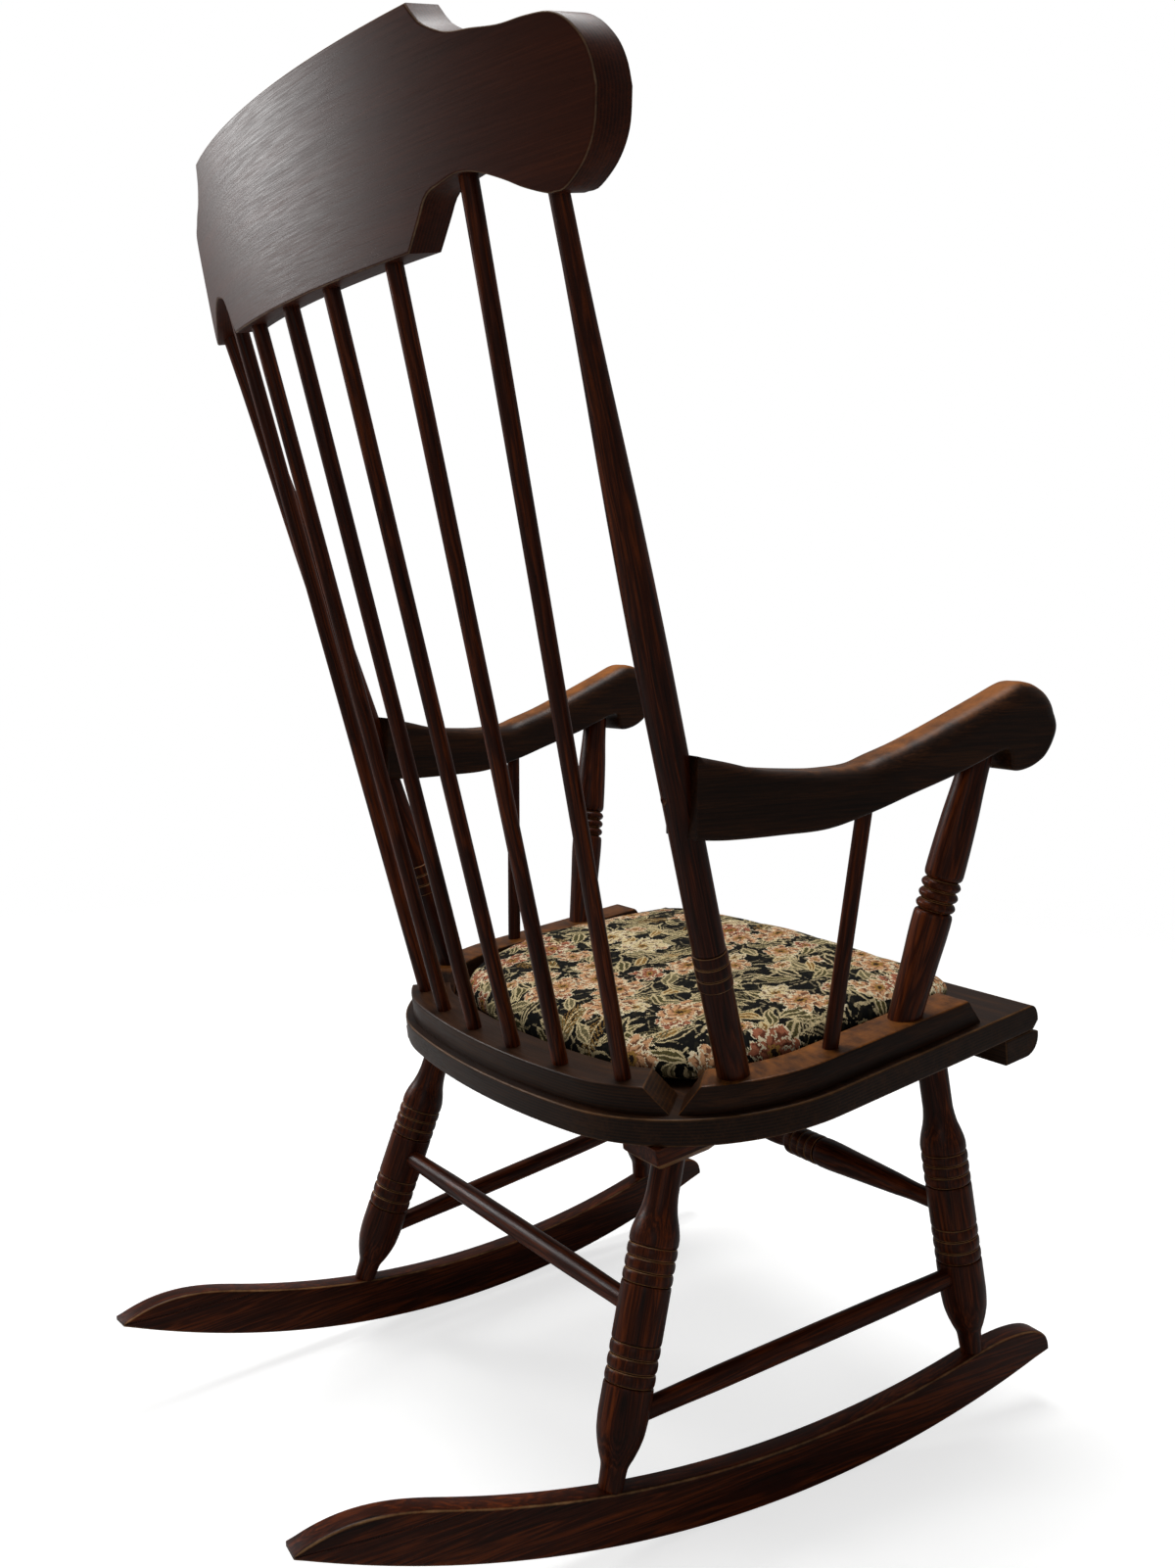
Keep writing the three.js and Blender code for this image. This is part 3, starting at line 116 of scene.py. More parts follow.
CREST_HALF, CREST_HEIGHT, CREST_THICKNESS, CREST_BEND, CREST_EDGE = 320.4, 141.5, 25.0, 861.5, 1.5
CREST_TOP = [
    (0.592, 1), (0.615, 0.921), (0.636, 0.879), (0.686, 0.82), (0.744, 0.794), (0.81, 0.763),
    (0.873, 0.754), (0.923, 0.735), (0.956, 0.687), (0.984, 0.599), (0.997, 0.505), (1, 0.403),
]
CREST_UNDER = [
    (1, 0.403), (0.985, 0.253), (0.955, 0.141), (0.911, 0.063), (0.885, 0.056), (0.865, 0.062),
    (0.815, 0.112), (0.771, 0.169), (0.714, 0.229), (0.662, 0.257), (0.614, 0.242), (0.567, 0.213),
    (0.533, 0.123), (0.504, 0.043), (0.488, 0),
]
CREST_FACE_SHARES = (1.0, 0.8, 0.55, 0.3, 0.12)
POST_HEAD, POST_SEAT_ANGLE = (0.856, 0.06), math.radians(28.6)
POST_RADIUS, POST_TIP, POST_RINGS, POST_RING_RADIUS, POST_GROOVE = 12.6, 6.7, (0.122, 0.17), 13.5, 2.4
SPINDLE_SPACING, SPINDLE_INSET, SPINDLE_RADIUS = 64.0, 22.0, 6.5
SPINDLE_HEADS = [(0.115, 0), (0.38, 0), (0.645, 0.255)]
DOWEL_ENTRY, HEAD_ENTRY, DOWEL_SIDES = 7.0, 12.0, 28

ARM_WIDTH, ARM_LENGTH, ARM_RISE, ARM_DROP, ARM_END_GAP = 42.0, 344.4, 103.8, 29.8, 2.0
ARM_JOINT_LIFT, ARM_SPLAY = 228.0, 5.4
ARM_UNDER_EDGE, ARM_SHOULDER, ARM_STEPS = 2.6, 12.4, 8
ARM_POST_FOOT, ARM_POST_REACH, ARM_POST_RISE, ARM_POST_RADIUS = 126.5, 278.0, 0.447, 15.8
ARM_POST_RINGS, ARM_POST_GROOVE, ARM_POST_END = (0.412, 0.53), 0.27, 0.76
ARM_POST_SWELL = [(0, 0.85), (0.2, 0.92), (0.36, 0.99), (0.39, 0.985), (0.403, 0.95), (0.409, 0.86), (0.411, 0.8)]
ARM_POST_TAPER = [
    (0.531, 0.8), (0.534, 0.87), (0.543, 0.955), (0.558, 0.985), (0.6, 0.98), (0.75, 0.92), (0.92, 0.79), (1, 0.76),
]
ARM_SPINDLE_FOOT, ARM_SPINDLE_REACH, ARM_SPINDLE_RISE, ARM_SPINDLE_RADIUS = 211.0, 166.0, 0.13, 6.3
ARM_TOP = [
    (1, 0.583), (0.92, 0.526), (0.825, 0.457), (0.69, 0.422), (0.615, 0.425), (0.562, 0.444),
    (0.51, 0.498), (0.43, 0.58), (0.325, 0.711), (0.187, 0.894), (0.115, 0.99), (0.08, 0.995),
    (0.045, 0.955), (0.016, 0.88), (-0.001, 0.775), (-0.006, 0.65), (0.012, 0.53), (0.045, 0.42),
    (0.092, 0.345), (0.141, 0.338),
]
ARM_UNDER = [
    (0.152, 0.47), (0.179, 0.485), (0.306, 0.34), (0.44, 0.211), (0.543, 0.11), (0.664, 0.017),
    (0.785, 0.002), (0.92, 0), (1, 0.02),
]
PLUG_PROUD, PLUG_SUNK = 0.6, 3.4
PLUG_DOME = [(0, 0.4, 0.3), (0.05, 2, 0.3), (0.25, 3.6, 0.8), (0.7, 4.4, 0.7), (1.4, 4.6, 0.3), (3.9, 4.6, 0)]

ROCKER_LENGTH, ROCKER_THICKNESS, ROCKER_HEIGHT, ROCKER_RADIUS = 687.0, 19.5, 41.9, 930.0
ROCKER_BALANCE, ROCKER_NOSE, ROCKER_TAIL, ROCKER_TIP, ROCKER_EDGE = -45.0, 87.5, 114.9, 3.0, 2.4
ROCKER_HALF_TRACK, ROCKER_TOE = 217.5, 4.9
ROCKERS = {sign: moved(sign * ROCKER_HALF_TRACK, 0, 0) @ turned(2, sign * ROCKER_TOE) for sign in SIDES}

# Of each leg, how far forwards its foot stands as a share of the rocker, its head's spread and distance back, and
# where its lower rings begin and end as shares of the turned length
LEGS = {"rear": (-0.146, 178.9, 326.2, (0.277, 0.39)), "front": (0.378, 207.5, 74.2, (0.302, 0.415))}
LEG_TURNING, LEG_RADIUS, LEG_NECK, LEG_HIGH_RINGS, LEG_NECK_END = 270.5, 19.4, 12.6, (0.549, 0.654), 0.8
LEG_FOOT = [
    (-0.006, 0.45), (0, 0.485), (0.02, 0.5), (0.055, 0.53), (0.09, 0.71), (0.12, 0.85), (0.155, 0.955), (0.205, 1),
]
LEG_SHOULDER = [
    (0.656, 0.965), (0.663, 0.99), (0.676, 0.99), (0.692, 0.96), (0.717, 0.87), (0.745, 0.75), (0.771, 0.685),
]

REAR_STRETCHER_LIFT, FRONT_STRETCHER_LIFT, SIDE_STRETCHER_LIFTS = 128.0, 126.0, (49.0, 68.7)
STRETCHER_RADIUS, STRETCHER_TIP, STRETCHER_ENTRY = 9.0, 8.0, 13.0
FRONT_STRETCHER_RADIUS, FRONT_STRETCHER_RINGS, FRONT_STRETCHER_GROOVE = 14.0, (0.115, 0.29), 1.9
FRONT_STRETCHER_BULB = [(0, 0.78), (0.05, 0.76), (0.088, 0.67), (0.103, 0.7), (0.112, 0.86)]
FRONT_STRETCHER_CONE = [(0.293, 0.88), (0.303, 0.985), (0.32, 1), (0.5, 0.87), (0.7, 0.7)]

CUSHION_CROWN, CUSHION_FRONT, CUSHION_CORNER, CUSHION_ROUND = 37.0, 18.0, 38.0, 14.0
CUSHION_SIDE, CUSHION_BOW, CUSHION_SLACK = RAIL_SETBACK + SIDE_RAIL_WIDTH + 4.0, 3.0, 2.0
CUSHION_SWELL, WALL_TOP, WALL_DEPTH = 5.0, 26.0, 16.0
# Of the cushion's rings, the share of the rounding they are drawn in and their share of the crown
CUSHION_WALL = [(1, 0.03), (0.5, 0.02), (0.15, 0.12), (0.03, 0.3), (0.0, 0.44), (0.12, 0.6), (0.42, 0.75), (1, 0.86)]
ZIP_RADIUS = BACK_RADIUS - RAIL_SETBACK - BACK_RAIL_WIDTH - 9.0
ZIP_LENGTH, ZIP_LIFT, ZIP_HEIGHT, ZIP_PITCH, ZIP_CHANNEL = 250.0, 5.5, 5.0, 1.9, 2.2
ZIP_MIDDLE = ZIP_LIFT + ZIP_HEIGHT / 2
TOOTH_HALF_LENGTH, TOOTH_HALF_HEIGHT, TOOTH_STAND, TOOTH_STAGGER = 0.62, 1.25, 0.55, 0.55
SLIDER_PLACE, SLIDER_HALF_LENGTH, SLIDER_HALF_HEIGHT, BRIDGE_HALF_HEIGHT = 13.5, 4.4, 3.1, 1.3
PULL_PLACE, PULL_HALF_LENGTH = 25.4, 7.4
# Of the slider's rings, their size and their distance behind the zip, and the same of its pull
SLIDER_ROWS = ((0.9, 0.9), (1.0, 1.05), (1.0, 1.9), (0.93, 2.25), (0.7, 2.3), (0.66, 2.35), (0.6, 3.0), (0.45, 3.25))
PULL_ROWS = ((0.86, 1.0), (1.0, 1.15), (1.0, 1.85), (0.86, 2.0))

SCREW_SIDES, RECESS_DEPTH, RECESS_BAR, RECESS_REACH = 40, 1.3, 0.75, 2.6
RECESS_RADII = (0.3, 0.7, 1.1, 1.5, 1.9, 2.3, 2.7, 3.2, 3.8)
SCREW_CONE = ((4.0, 0.3), (3.9, 0.6), (2.1, 3.0), (2.0, 4.0))

FADE_START, FADE_END = 1.2, 2.6
CAMERA_PLACE = (
    (-0.56273, 0.09200, -0.82151, -1.02513),
    (-0.82663, -0.06768, 0.55866, 0.67276),
    (-0.00421, 0.99346, 0.11413, 0.69269),
    (0.0, 0.0, 0.0, 1.0),
)


def side_x(inner, back):
    """Half width of the seat less an inset, at a distance behind its front edge."""
    return SEAT_HALF_WIDTH - (inner + back * math.sin(SIDE_ANGLE)) / math.cos(SIDE_ANGLE)


def on_corner(inner, angle):
    """Plan point on the left rear corner's arc less an inset."""
    radius = CORNER_RADIUS - inner
    return CORNER_SPREAD + radius * np.cos(angle), CORNER_CENTRE + radius * np.sin(angle)


def on_back(inner, angle):
    """Plan point on the rear edge's flat arc less an inset."""
    radius = BACK_RADIUS - inner
    return radius * np.cos(angle), BACK_CENTRE + radius * np.sin(angle)


def rear_edge(inner, across):
    """How far back the seat's rear edge lies, less an inset, at a distance from the middle."""
    if across < (BACK_RADIUS - inner) * math.cos(BACK_ANGLE):
        return BACK_CENTRE + math.sqrt((BACK_RADIUS - inner) ** 2 - across**2)
    return CORNER_CENTRE + math.sqrt((CORNER_RADIUS - inner) ** 2 - (across - CORNER_SPREAD) ** 2)


def seat_point(across, back, up):
    return carried(SEAT, (across, back, up))


def crest_depth(across, offset=0.0):
    """How far back a bent sheet lies: an arc of the bend's radius plus its offset from the middle sheet."""
    return np.sqrt((CREST_BEND + offset) ** 2 - np.asarray(across, float) ** 2) - CREST_BEND


def crest_point(share, sign):
    across = share[0] * CREST_HALF * sign
    return carried(CREST, (across, crest_depth(across), share[1] * CREST_HEIGHT))


def rocker_floor(y):
    """Underside of a rocker: an arc that touches the floor at the balance point."""
    return ROCKER_RADIUS - np.sqrt(ROCKER_RADIUS**2 - (y - ROCKER_BALANCE) ** 2)


def rocker_top(y):
    """Top of a rocker: the underside plus a height that falls off elliptically at the nose, as a power at the tail."""
    nose = np.clip((-y - ROCKER_LENGTH / 2 + ROCKER_NOSE) / ROCKER_NOSE, 0, 1)
    tail = np.clip((y - ROCKER_LENGTH / 2 + ROCKER_TAIL) / ROCKER_TAIL, 0, 1)
    share = np.sqrt(1 - nose**2) * (1 - tail**2.6)
    return rocker_floor(y) + ROCKER_TIP + (ROCKER_HEIGHT - ROCKER_TIP) * share


# Curves and surfaces


def spline(points, steps):
    """Uniform Catmull-Rom curve through the points, with so many steps between each two."""
    p = np.asarray(points, float)
    p = np.vstack([p[:1], p, p[-1:]])
    t = (np.arange(steps) / steps)[None, :, None]
    a, b, c, d = (p[k : len(p) - 3 + k, None, :] for k in range(4))
    half = 0.5 * (2 * b + (c - a) * t + (2 * a - 5 * b + 4 * c - d) * t**2 + (3 * b - a - 3 * c + d) * t**3)
    return np.vstack([half.reshape(-1, 2), p[-1:]])


def flow(points, steps=6, wear_and_highlight=0.12):
    """Turned profile through (along, radius) points: a monotone cubic whose slopes are the harmonic means of the
    neighbouring chords, and level where the profile turns. The third column is the wear."""
    x, y = np.asarray(points, float).T
    width = np.diff(x)
    chord = np.diff(y) / width
    slope = np.zeros(len(x))
    product = chord[1:] * chord[:-1]
    same = product > 1e-9
    slope[1:-1] = np.where(same, 2 * product / np.where(same, chord[1:] + chord[:-1], 1), 0)
    t = (np.arange(steps) / steps)[None, :]
    m0, m1 = (slope[:-1] * width)[:, None], (slope[1:] * width)[:, None]
    radius = (2 * t**3 - 3 * t**2 + 1) * y[:-1, None] + (t**3 - 2 * t**2 + t) * m0
    radius = radius + (3 * t**2 - 2 * t**3) * y[1:, None] + (t**3 - t**2) * m1
    along = x[:-1, None] + t * width[:, None]
    rows = np.vstack([np.stack([along.ravel(), radius.ravel()], 1), [x[-1], y[-1]]])
    return np.column_stack([rows, np.full(len(rows), wear_and_highlight)])


def beads(low, high, count, radius, depth, squareness, steps=14):
    """Turned rings between two heights: across each, the radius falls by the depth as a superellipse does, and the lips
    of the grooves are made paler, partly as scuffed stain and partly as a painted highlight where they catch the light."""
    pitch = (high - low) / count
    v = -np.cos(np.pi * np.arange(steps + 1) / steps)
    drop = depth * (1 - (1 - np.abs(v) ** squareness) ** (1 / squareness))
    # Both lips of each groove are made paler: partly scuffed stain, partly a painted highlight along the rings
    lip_wear_and_highlight = 1.4 * np.exp(-(((np.abs(v) - 0.86) / 0.1) ** 2))
    rows = [np.column_stack([low + (k + (v + 1) / 2) * pitch, radius - drop, lip_wear_and_highlight])[:-1] for k in range(count)]
    return np.vstack([*rows, [[high, radius - depth, 0.2]]])


def inset(outline, distance):
    """A closed outline, anticlockwise, moved inwards: each corner goes to where its two edges, each moved by its own
    distance, meet, or straight inwards where they are nearly in line."""
    edge = np.roll(outline, -1, 0) - outline
    edge = edge / np.linalg.norm(edge, axis=1, keepdims=True)
    normal = np.stack([-edge[:, 1], edge[:, 0]], 1)
    d1 = np.broadcast_to(np.asarray(distance, float), (len(outline),))
    n0, d0 = np.roll(normal, 1, 0), np.roll(d1, 1)
    det = n0[:, 0] * normal[:, 1] - n0[:, 1] * normal[:, 0]
    sharp = np.abs(det) > 0.3
    safe = np.where(sharp, det, 1)
    corner = np.stack([(d0 * normal[:, 1] - d1 * n0[:, 1]) / safe, (n0[:, 0] * d1 - normal[:, 0] * d0) / safe], 1)
    mean = n0 + normal
    mean = mean / np.sum(mean**2, axis=1, keepdims=True) * (d0 + d1)[:, None]
    return outline + np.where(sharp[:, None], corner, mean)


def eased_board(outline, half, radius, steps=4):
    """Rings of a board of even thickness with quarter-round edges. A row at angle a is inset by r (1 - cos a) and lies
    r (1 - sin a) inside the face. Gives rings of (across, up, depth) and their wear."""
    radius = np.broadcast_to(np.asarray(radius, float), (len(outline),))
    corner = (radius + np.roll(radius, 1)) / 2
    rings, wear_and_highlight = [], []
    for face in (-1, 1):
        rows = [(inset(outline, radius + 0.4), np.full(len(outline), face * half), 0.3)]
        for a in np.linspace(math.pi / 2, 0, steps + 1):
            depth = face * (half - corner * (1 - math.sin(a)))
            rows.append((inset(outline, radius * (1 - math.cos(a))), depth, math.sin(2 * a) ** 0.7))
        for ring, depth, worn_and_lit in rows[::-face]:
            rings.append(np.column_stack([ring, depth]))
            wear_and_highlight.append(np.full(len(outline), worn_and_lit))
    return np.array(rings), np.array(wear_and_highlight)


# Finishes

# Growth rings of the wood, in millimetres: the axis they lie round, how it leans, how they wander and their pitch
RING_AXIS, RING_TAPER, RING_WANDER, RING_PITCH = (17, 41, 0), 0.02, 34.0, 4.2

# Colours of the tapestry's yarns
YARNS = {
    "ground": "0c0c0b", "gap": "060605", "moss": "27231a", "olive": "5c5430", "sage": "877b56", "straw": "e4cf9e",
    "cream": "f2e2bd", "ochre": "ab8040", "peach": "d9a274", "rose": "b36d50", "brick": "5c2d20", "bark": "30211a",
}
# Borders of wandering nets, a thread or two wide: spacing in millimetres, width and how strong they show
TENDRILS = ((34.0, 0.034, 0.7), (20.0, 0.038, 0.4))
# Kinds of leaf: spacing in millimetres, shift of the grid, girth, whether parted, share missing and yarns
LEAVES = (
    (40.0, 3.1, 0.17, False, 0.3, ("olive", "moss", "sage")),
    (30.0, 11.7, 0.2, False, 0.45, ("sage", "olive", "ochre")),
    (54.0, 23.9, 0.19, True, 0.3, ("straw", "sage", "ochre")),
    (34.0, 35.3, 0.17, False, 0.45, ("moss", "olive", "sage")),
)
# Kinds of flower, small ones first: spacing in millimetres, shift of the grid, petals, size and share missing
FLOWERS = ((33.0, 41.3, 5.0, 0.32, 0.72), (52.0, 57.7, 6.0, 0.34, 0.5), (76.0, 71.9, 7.0, 0.31, 0.12))

finish = {}


def tint(code):
    """An sRGB hex colour as linear RGBA."""
    parts = np.array([int(code[k : k + 2], 16) / 255 for k in (0, 2, 4)])
    linear = np.where(parts <= 0.04045, parts / 12.92, ((parts + 0.055) / 1.055) ** 2.4)
    return (*linear.tolist(), 1.0)


def put(tree, kind, inputs=(), **settings):
    """Adds a node, sets its properties, and fills its inputs, by name or in order, with values, sockets or the first
    outputs of other nodes."""
    node = tree.nodes.new("ShaderNode" + kind)
    for key, value in settings.items():
        setattr(node, key, value)
    for key, value in inputs.items() if isinstance(inputs, dict) else enumerate(inputs):
        if isinstance(value, bpy.types.Node):
            value = value.outputs[0]
        if isinstance(value, bpy.types.NodeSocket):
            tree.links.new(value, node.inputs[key])
        else:
            node.inputs[key].default_value = value
    return node


def reckoners(tree, *operations, kind="Math"):
    """For each operation, a function that adds its node and takes its values."""

    def reckon(operation, *values):
        return put(tree, kind, values, operation=operation)

    return [partial(reckon, operation) for operation in operations]


def noise(tree, place, scale, detail=2.0, roughness=0.5, dimensions="3D"):
    """Noise of a place, a number as its first output and a colour as its second."""
    inputs = {"Vector": place, "Scale": scale, "Detail": detail, "Roughness": roughness}
    return put(tree, "TexNoise", inputs, noise_dimensions=dimensions)


def shade(tree, kind, low, high, value, ends=(0.0, 1.0)):
    """Value's share of the way from low to high, eased at both ends or straight, spread between two ends."""
    inputs = {"Value": value, "From Min": low, "From Max": high, "To Min": ends[0], "To Max": ends[1]}
    return put(tree, "MapRange", inputs, interpolation_type=kind)


def mixed(tree, share, first, second):
    """First and second colour mixed by a share from 0 to 1."""
    return put(tree, "Mix", {0: share, 6: first, 7: second}, data_type="RGBA").outputs[2]


def ramp(tree, value, stops, interpolation="LINEAR"):
    """A colour ramp with the stops (place, hex colour)."""
    node = put(tree, "ValToRGB", (value,))
    node.color_ramp.interpolation = interpolation
    while len(node.color_ramp.elements) < len(stops):
        node.color_ramp.elements.new(0.5)
    for element, (place, code) in zip(node.color_ramp.elements, stops):
        element.position = place
        element.color = tint(code)
    return node


def blank(name):
    """A new material and its emptied node tree."""
    material = bpy.data.materials.new(name)
    material.use_nodes = True
    material.node_tree.nodes.clear()
    return material, material.node_tree


def surfaced(tree, colour, height, strength, distance, settings):
    """Ends a material in one surface with a colour and a bump."""
    normal = put(tree, "Bump", {"Strength": strength, "Distance": distance, "Height": height})
    surface = put(tree, "BsdfPrincipled", {"Base Color": colour, "Normal": normal, **settings})
    put(tree, "OutputMaterial", (surface,))


def stained_wood(name, deep, middle, light, worn_and_lit, rough, wear_and_highlight_share, plies=None, figure=0.05, sheen=0.0):
    """Beech with a walnut stain under satin lacquer. Growth rings wander round an axis beside the piece, streaks and
    pores run along it, and the stain has gone thin on edges. The same paler colour also paints highlights on the lips
    of turned rings and painted light on the tops of arms and rails. plies is the thickness in mm of the veneers that
    show as stripes on the edge of a plywood piece, with the axis they are stacked along, and figure how much the rings
    show."""
    material, tree = blank(name)
    times, fused, sine = reckoners(tree, "MULTIPLY", "MULTIPLY_ADD", "SINE")
    scaled, shifted, length = reckoners(tree, "MULTIPLY", "ADD", "LENGTH", kind="VectorMath")
    grain = put(tree, "Attribute", attribute_name="grain").outputs["Vector"]
    edge_wear_and_highlight = put(tree, "Attribute", attribute_name="wear_and_highlight").outputs["Fac"]

    def streak(across, along, detail, offset=0.0):
        """Noise whose grains are so many millimetres across and along."""
        place = scaled(grain, (1 / across, 1 / across, 1 / along))
        return noise(tree, shifted(place, (offset, 0, 0)), 1.0, detail, 0.6)

    broad = streak(16, 190, 2.0)
    long = streak(2.6, 90, 3.0, 31.0)
    fine = streak(0.75, 34, 2.0, 57.0)
    pore = streak(0.6, 5.0, 1.0, 83.0)
    from_axis = length(scaled(shifted(grain, RING_AXIS), (1, 1, RING_TAPER))).outputs["Value"]
    ring = sine(times(fused(broad, RING_WANDER, from_axis), 2 * math.pi / RING_PITCH))
    tone = times(ring, figure)
    for part, share in ((broad, 0.4), (long, 0.3), (fine, 0.3)):
        tone = fused(part, share, tone)
    tone = shade(tree, "LINEAR", 0.24, 0.76, tone)
    colour = ramp(tree, tone, [(0.15, deep), (0.5, middle), (0.9, light)])
    fleck = shade(tree, "SMOOTHSTEP", 0.66, 0.74, pore)
    colour = mixed(tree, times(fleck, 0.5), colour, tint(deep))
    if plies:
        thickness, axis = plies
        sheet = sine(times(put(tree, "SeparateXYZ", (grain,)).outputs[axis], 2 * math.pi / thickness))
        colour = mixed(tree, times(shade(tree, "SMOOTHSTEP", -0.2, 0.8, sheet), 0.35), colour, tint(light))
    # Paler colour where the stored value is high: scuffed stain on edges, and painted highlights and painted top light
    # where the pieces ask for them
    rubbed_and_lit = fused(noise(tree, grain, 0.045, 4.0, 0.7), 0.8, edge_wear_and_highlight)
    rubbed_and_lit = times(shade(tree, "SMOOTHSTEP", 1.0, 1.7, rubbed_and_lit), wear_and_highlight_share)
    colour = mixed(tree, rubbed_and_lit, colour, tint(worn_and_lit))
    height = fused(fleck, -0.6, times(fine, 0.5))
    satin = shade(tree, "LINEAR", 0.3, 0.7, fine, (rough - 0.06, rough + 0.1))
    lacquer = {"Roughness": satin, "Specular IOR Level": 0.13, "Coat Weight": sheen, "Coat Roughness": 0.4}
    surfaced(tree, colour, height, 0.2, 0.0004, lacquer)
    return material


def plain_material(name, first, second, grit, roughness, metallic=0.0):
    """A material mottled between two colours and pitted by a fine noise, whose grains are grit metres wide."""
    material, tree = blank(name)
    mottle = noise(tree, put(tree, "TexCoord").outputs["Object"], 1 / grit, 3.0)
    colour = ramp(tree, mottle, [(0.3, first), (0.7, second)])
    surfaced(tree, colour, mottle, 0.3, grit * 0.2, {"Roughness": roughness, "Metallic": metallic})
    return material


def make_finishes():
    """The finishes of the chair, each named for the real one."""
    worn_and_lit = bpy.context.scene.chair_wood.wear_and_highlight
    return {
        # Turned beech: red-brown where the light meets it, nearly black in the shade
        "walnut_stain": stained_wood("walnut_stained_beech", "130501", "381405", "763510", "b08458", 0.34, worn_and_lit),
        # Plywood of the seat, whose edge shows the veneers as fine stripes
        "seat_stain": stained_wood(
            "walnut_stained_plywood", "0d0502", "1f0f05", "40240e", "8a6038", 0.4, worn_and_lit * 0.7, (2.6, 1), 0.02
        ),
        # Arms and side rails: their tops are an orange brown, partly stain scuffed by hands and partly painted light
        # from above
        "worn_stain": stained_wood("hand_worn_and_top_lit_beech", "0e0501", "251206", "46260f", "9a5b22", 0.36, 0.85, figure=0.03),
        # Bent plywood of the crest, with a greyish sheen over fine level streaks
        "crest_stain": stained_wood(
            "bent_stained_plywood", "170602", "331206", "54240e", "a08465", 0.42, worn_and_lit, (2.4, 0), 0.0, 0.03
        ),
        # Zinc-plated steel: a dull grey metal with a faint mottle
        "screw_steel": plain_material("zinc_plated_steel", "8f8d88", "a9a7a0", 0.002, 0.38, 1.0),
        # Open-cell polyurethane foam: matt, pale yellow, pitted by its cells
        "foam": plain_material("polyurethane_foam", "cdbb8c", "e2d4a8", 0.0015, 0.95),
        # Jacquard tapestry: coloured flowers and leaves of matt yarn over a nearly black ground
        "tapestry": jacquard_tapestry(),
        # Woven polyester tape: matt and nearly black
        "zip_tape": plain_material("woven_polyester_tape", "15130f", "2b2822", 0.0008, 0.9),
        # Nickel-plated brass of the zip's teeth and slider: bright, slightly warm
        "zip_metal": plain_material("nickel_plated_brass", "bdb9ae", "dcd9d0", 0.001, 0.3, 0.6),
    }


def yarn(name):
    return tint(YARNS[name])


def motif(tree, place, spacing, shift):
    """Distance, local place and three random numbers of the nearest point of a scattered grid."""
    scaled, shifted, between = reckoners(tree, "MULTIPLY", "ADD", "SUBTRACT", kind="VectorMath")
    grid = shifted(scaled(place, (1 / spacing, 1 / spacing, 0)), (shift, shift * 1.7, 0))
    near = put(tree, "TexVoronoi", {"Vector": grid, "Scale": 1.0, "Randomness": 0.72}, voronoi_dimensions="2D").outputs
    chance = put(tree, "SeparateColor", (near["Color"],)).outputs
    spin = put(tree, "Math", (chance[0], 2 * math.pi), operation="MULTIPLY")
    local = {"Vector": between(grid, near["Position"]), "Angle": spin}
    axes = put(tree, "SeparateXYZ", (put(tree, "VectorRotate", local, rotation_type="Z_AXIS"),)).outputs
    return near["Distance"], axes, chance


def leaves(tree, colour, place, ragged, spacing, shift, girth_share, parted, missing, tones):
    """Pointed ovals with a pale rib, slanting veins and a pale outline; the ferns are parted along their veins."""
    times, fused, minus, over = reckoners(tree, "MULTIPLY", "MULTIPLY_ADD", "SUBTRACT", "DIVIDE")
    above, below, most = reckoners(tree, "GREATER_THAN", "LESS_THAN", "MAXIMUM")
    positive, sine = reckoners(tree, "ABSOLUTE", "SINE")
    _, axes, chance = motif(tree, place, spacing, shift)
    reach, side = over(axes[0], 0.5), positive(axes[1])
    girth = fused(minus(1.0, times(reach, reach)), girth_share, times(ragged, 0.09))
    wave = sine(minus(times(axes[0], 1.15 * spacing), times(side, 1.3 * spacing)))
    rib = below(side, 0.8 / spacing)
    shown = times(below(side, girth), above(chance[2], missing))
    if parted:
        shown = times(shown, most(above(wave, 0.1), rib))
        line = rib
    else:
        line = most(above(side, minus(girth, 1.5 / spacing)), rib)
    leaf = ramp(tree, chance[1], [(at, YARNS[tone]) for at, tone in zip((0.0, 0.4, 0.75), tones)], "CONSTANT")
    leaf = mixed(tree, times(above(wave, 0.5), 0.55), leaf, yarn("moss"))
    leaf = mixed(tree, times(line, 0.9), leaf, yarn("straw"))
    return mixed(tree, shown, colour, leaf)


def flowers(tree, colour, place, ragged, spacing, shift, petals, size, missing):
    """Two rounds of ragged petals, folded and outlined, about a stippled eye."""
    times, fused, minus, over = reckoners(tree, "MULTIPLY", "MULTIPLY_ADD", "SUBTRACT", "DIVIDE")
    above, below, power = reckoners(tree, "GREATER_THAN", "LESS_THAN", "POWER")
    positive, sine, cosine, bearing = reckoners(tree, "ABSOLUTE", "SINE", "COSINE", "ARCTAN2")
    distance, axes, chance = motif(tree, place, spacing, shift)
    angle = bearing(axes[1], axes[0])
    half = times(angle, petals / 2)
    edge = fused(power(positive(cosine(half)), 0.7), 0.36 * size, 0.64 * size)
    share = over(distance, fused(ragged, 0.6 * size, edge))
    inner = fused(positive(sine(half)), 0.2 * size, 0.42 * size)
    second = over(distance, fused(ragged, 0.7 * size, inner))
    fold = sine(fused(share, 13.0, times(angle, petals)))
    tones = ((0.0, "peach"), (0.3, "rose"), (0.62, "straw"), (0.74, "peach"))
    bloom = ramp(tree, chance[1], [(at, YARNS[tone]) for at, tone in tones], "CONSTANT")
    for part, tone in (
        (times(shade(tree, "SMOOTHSTEP", -0.1, 0.7, fold), 0.85), "brick"),
        (below(positive(minus(second, 1.0)), 0.1), "cream"),
        (below(second, 0.45), "ochre"),
        (below(second, 0.22), "bark"),
        (above(share, 1 - 1.5 / (spacing * size)), "cream"),
    ):
        bloom = mixed(tree, part, bloom, yarn(tone))
    return mixed(tree, times(below(share, 1.0), above(chance[2], missing)), colour, bloom)


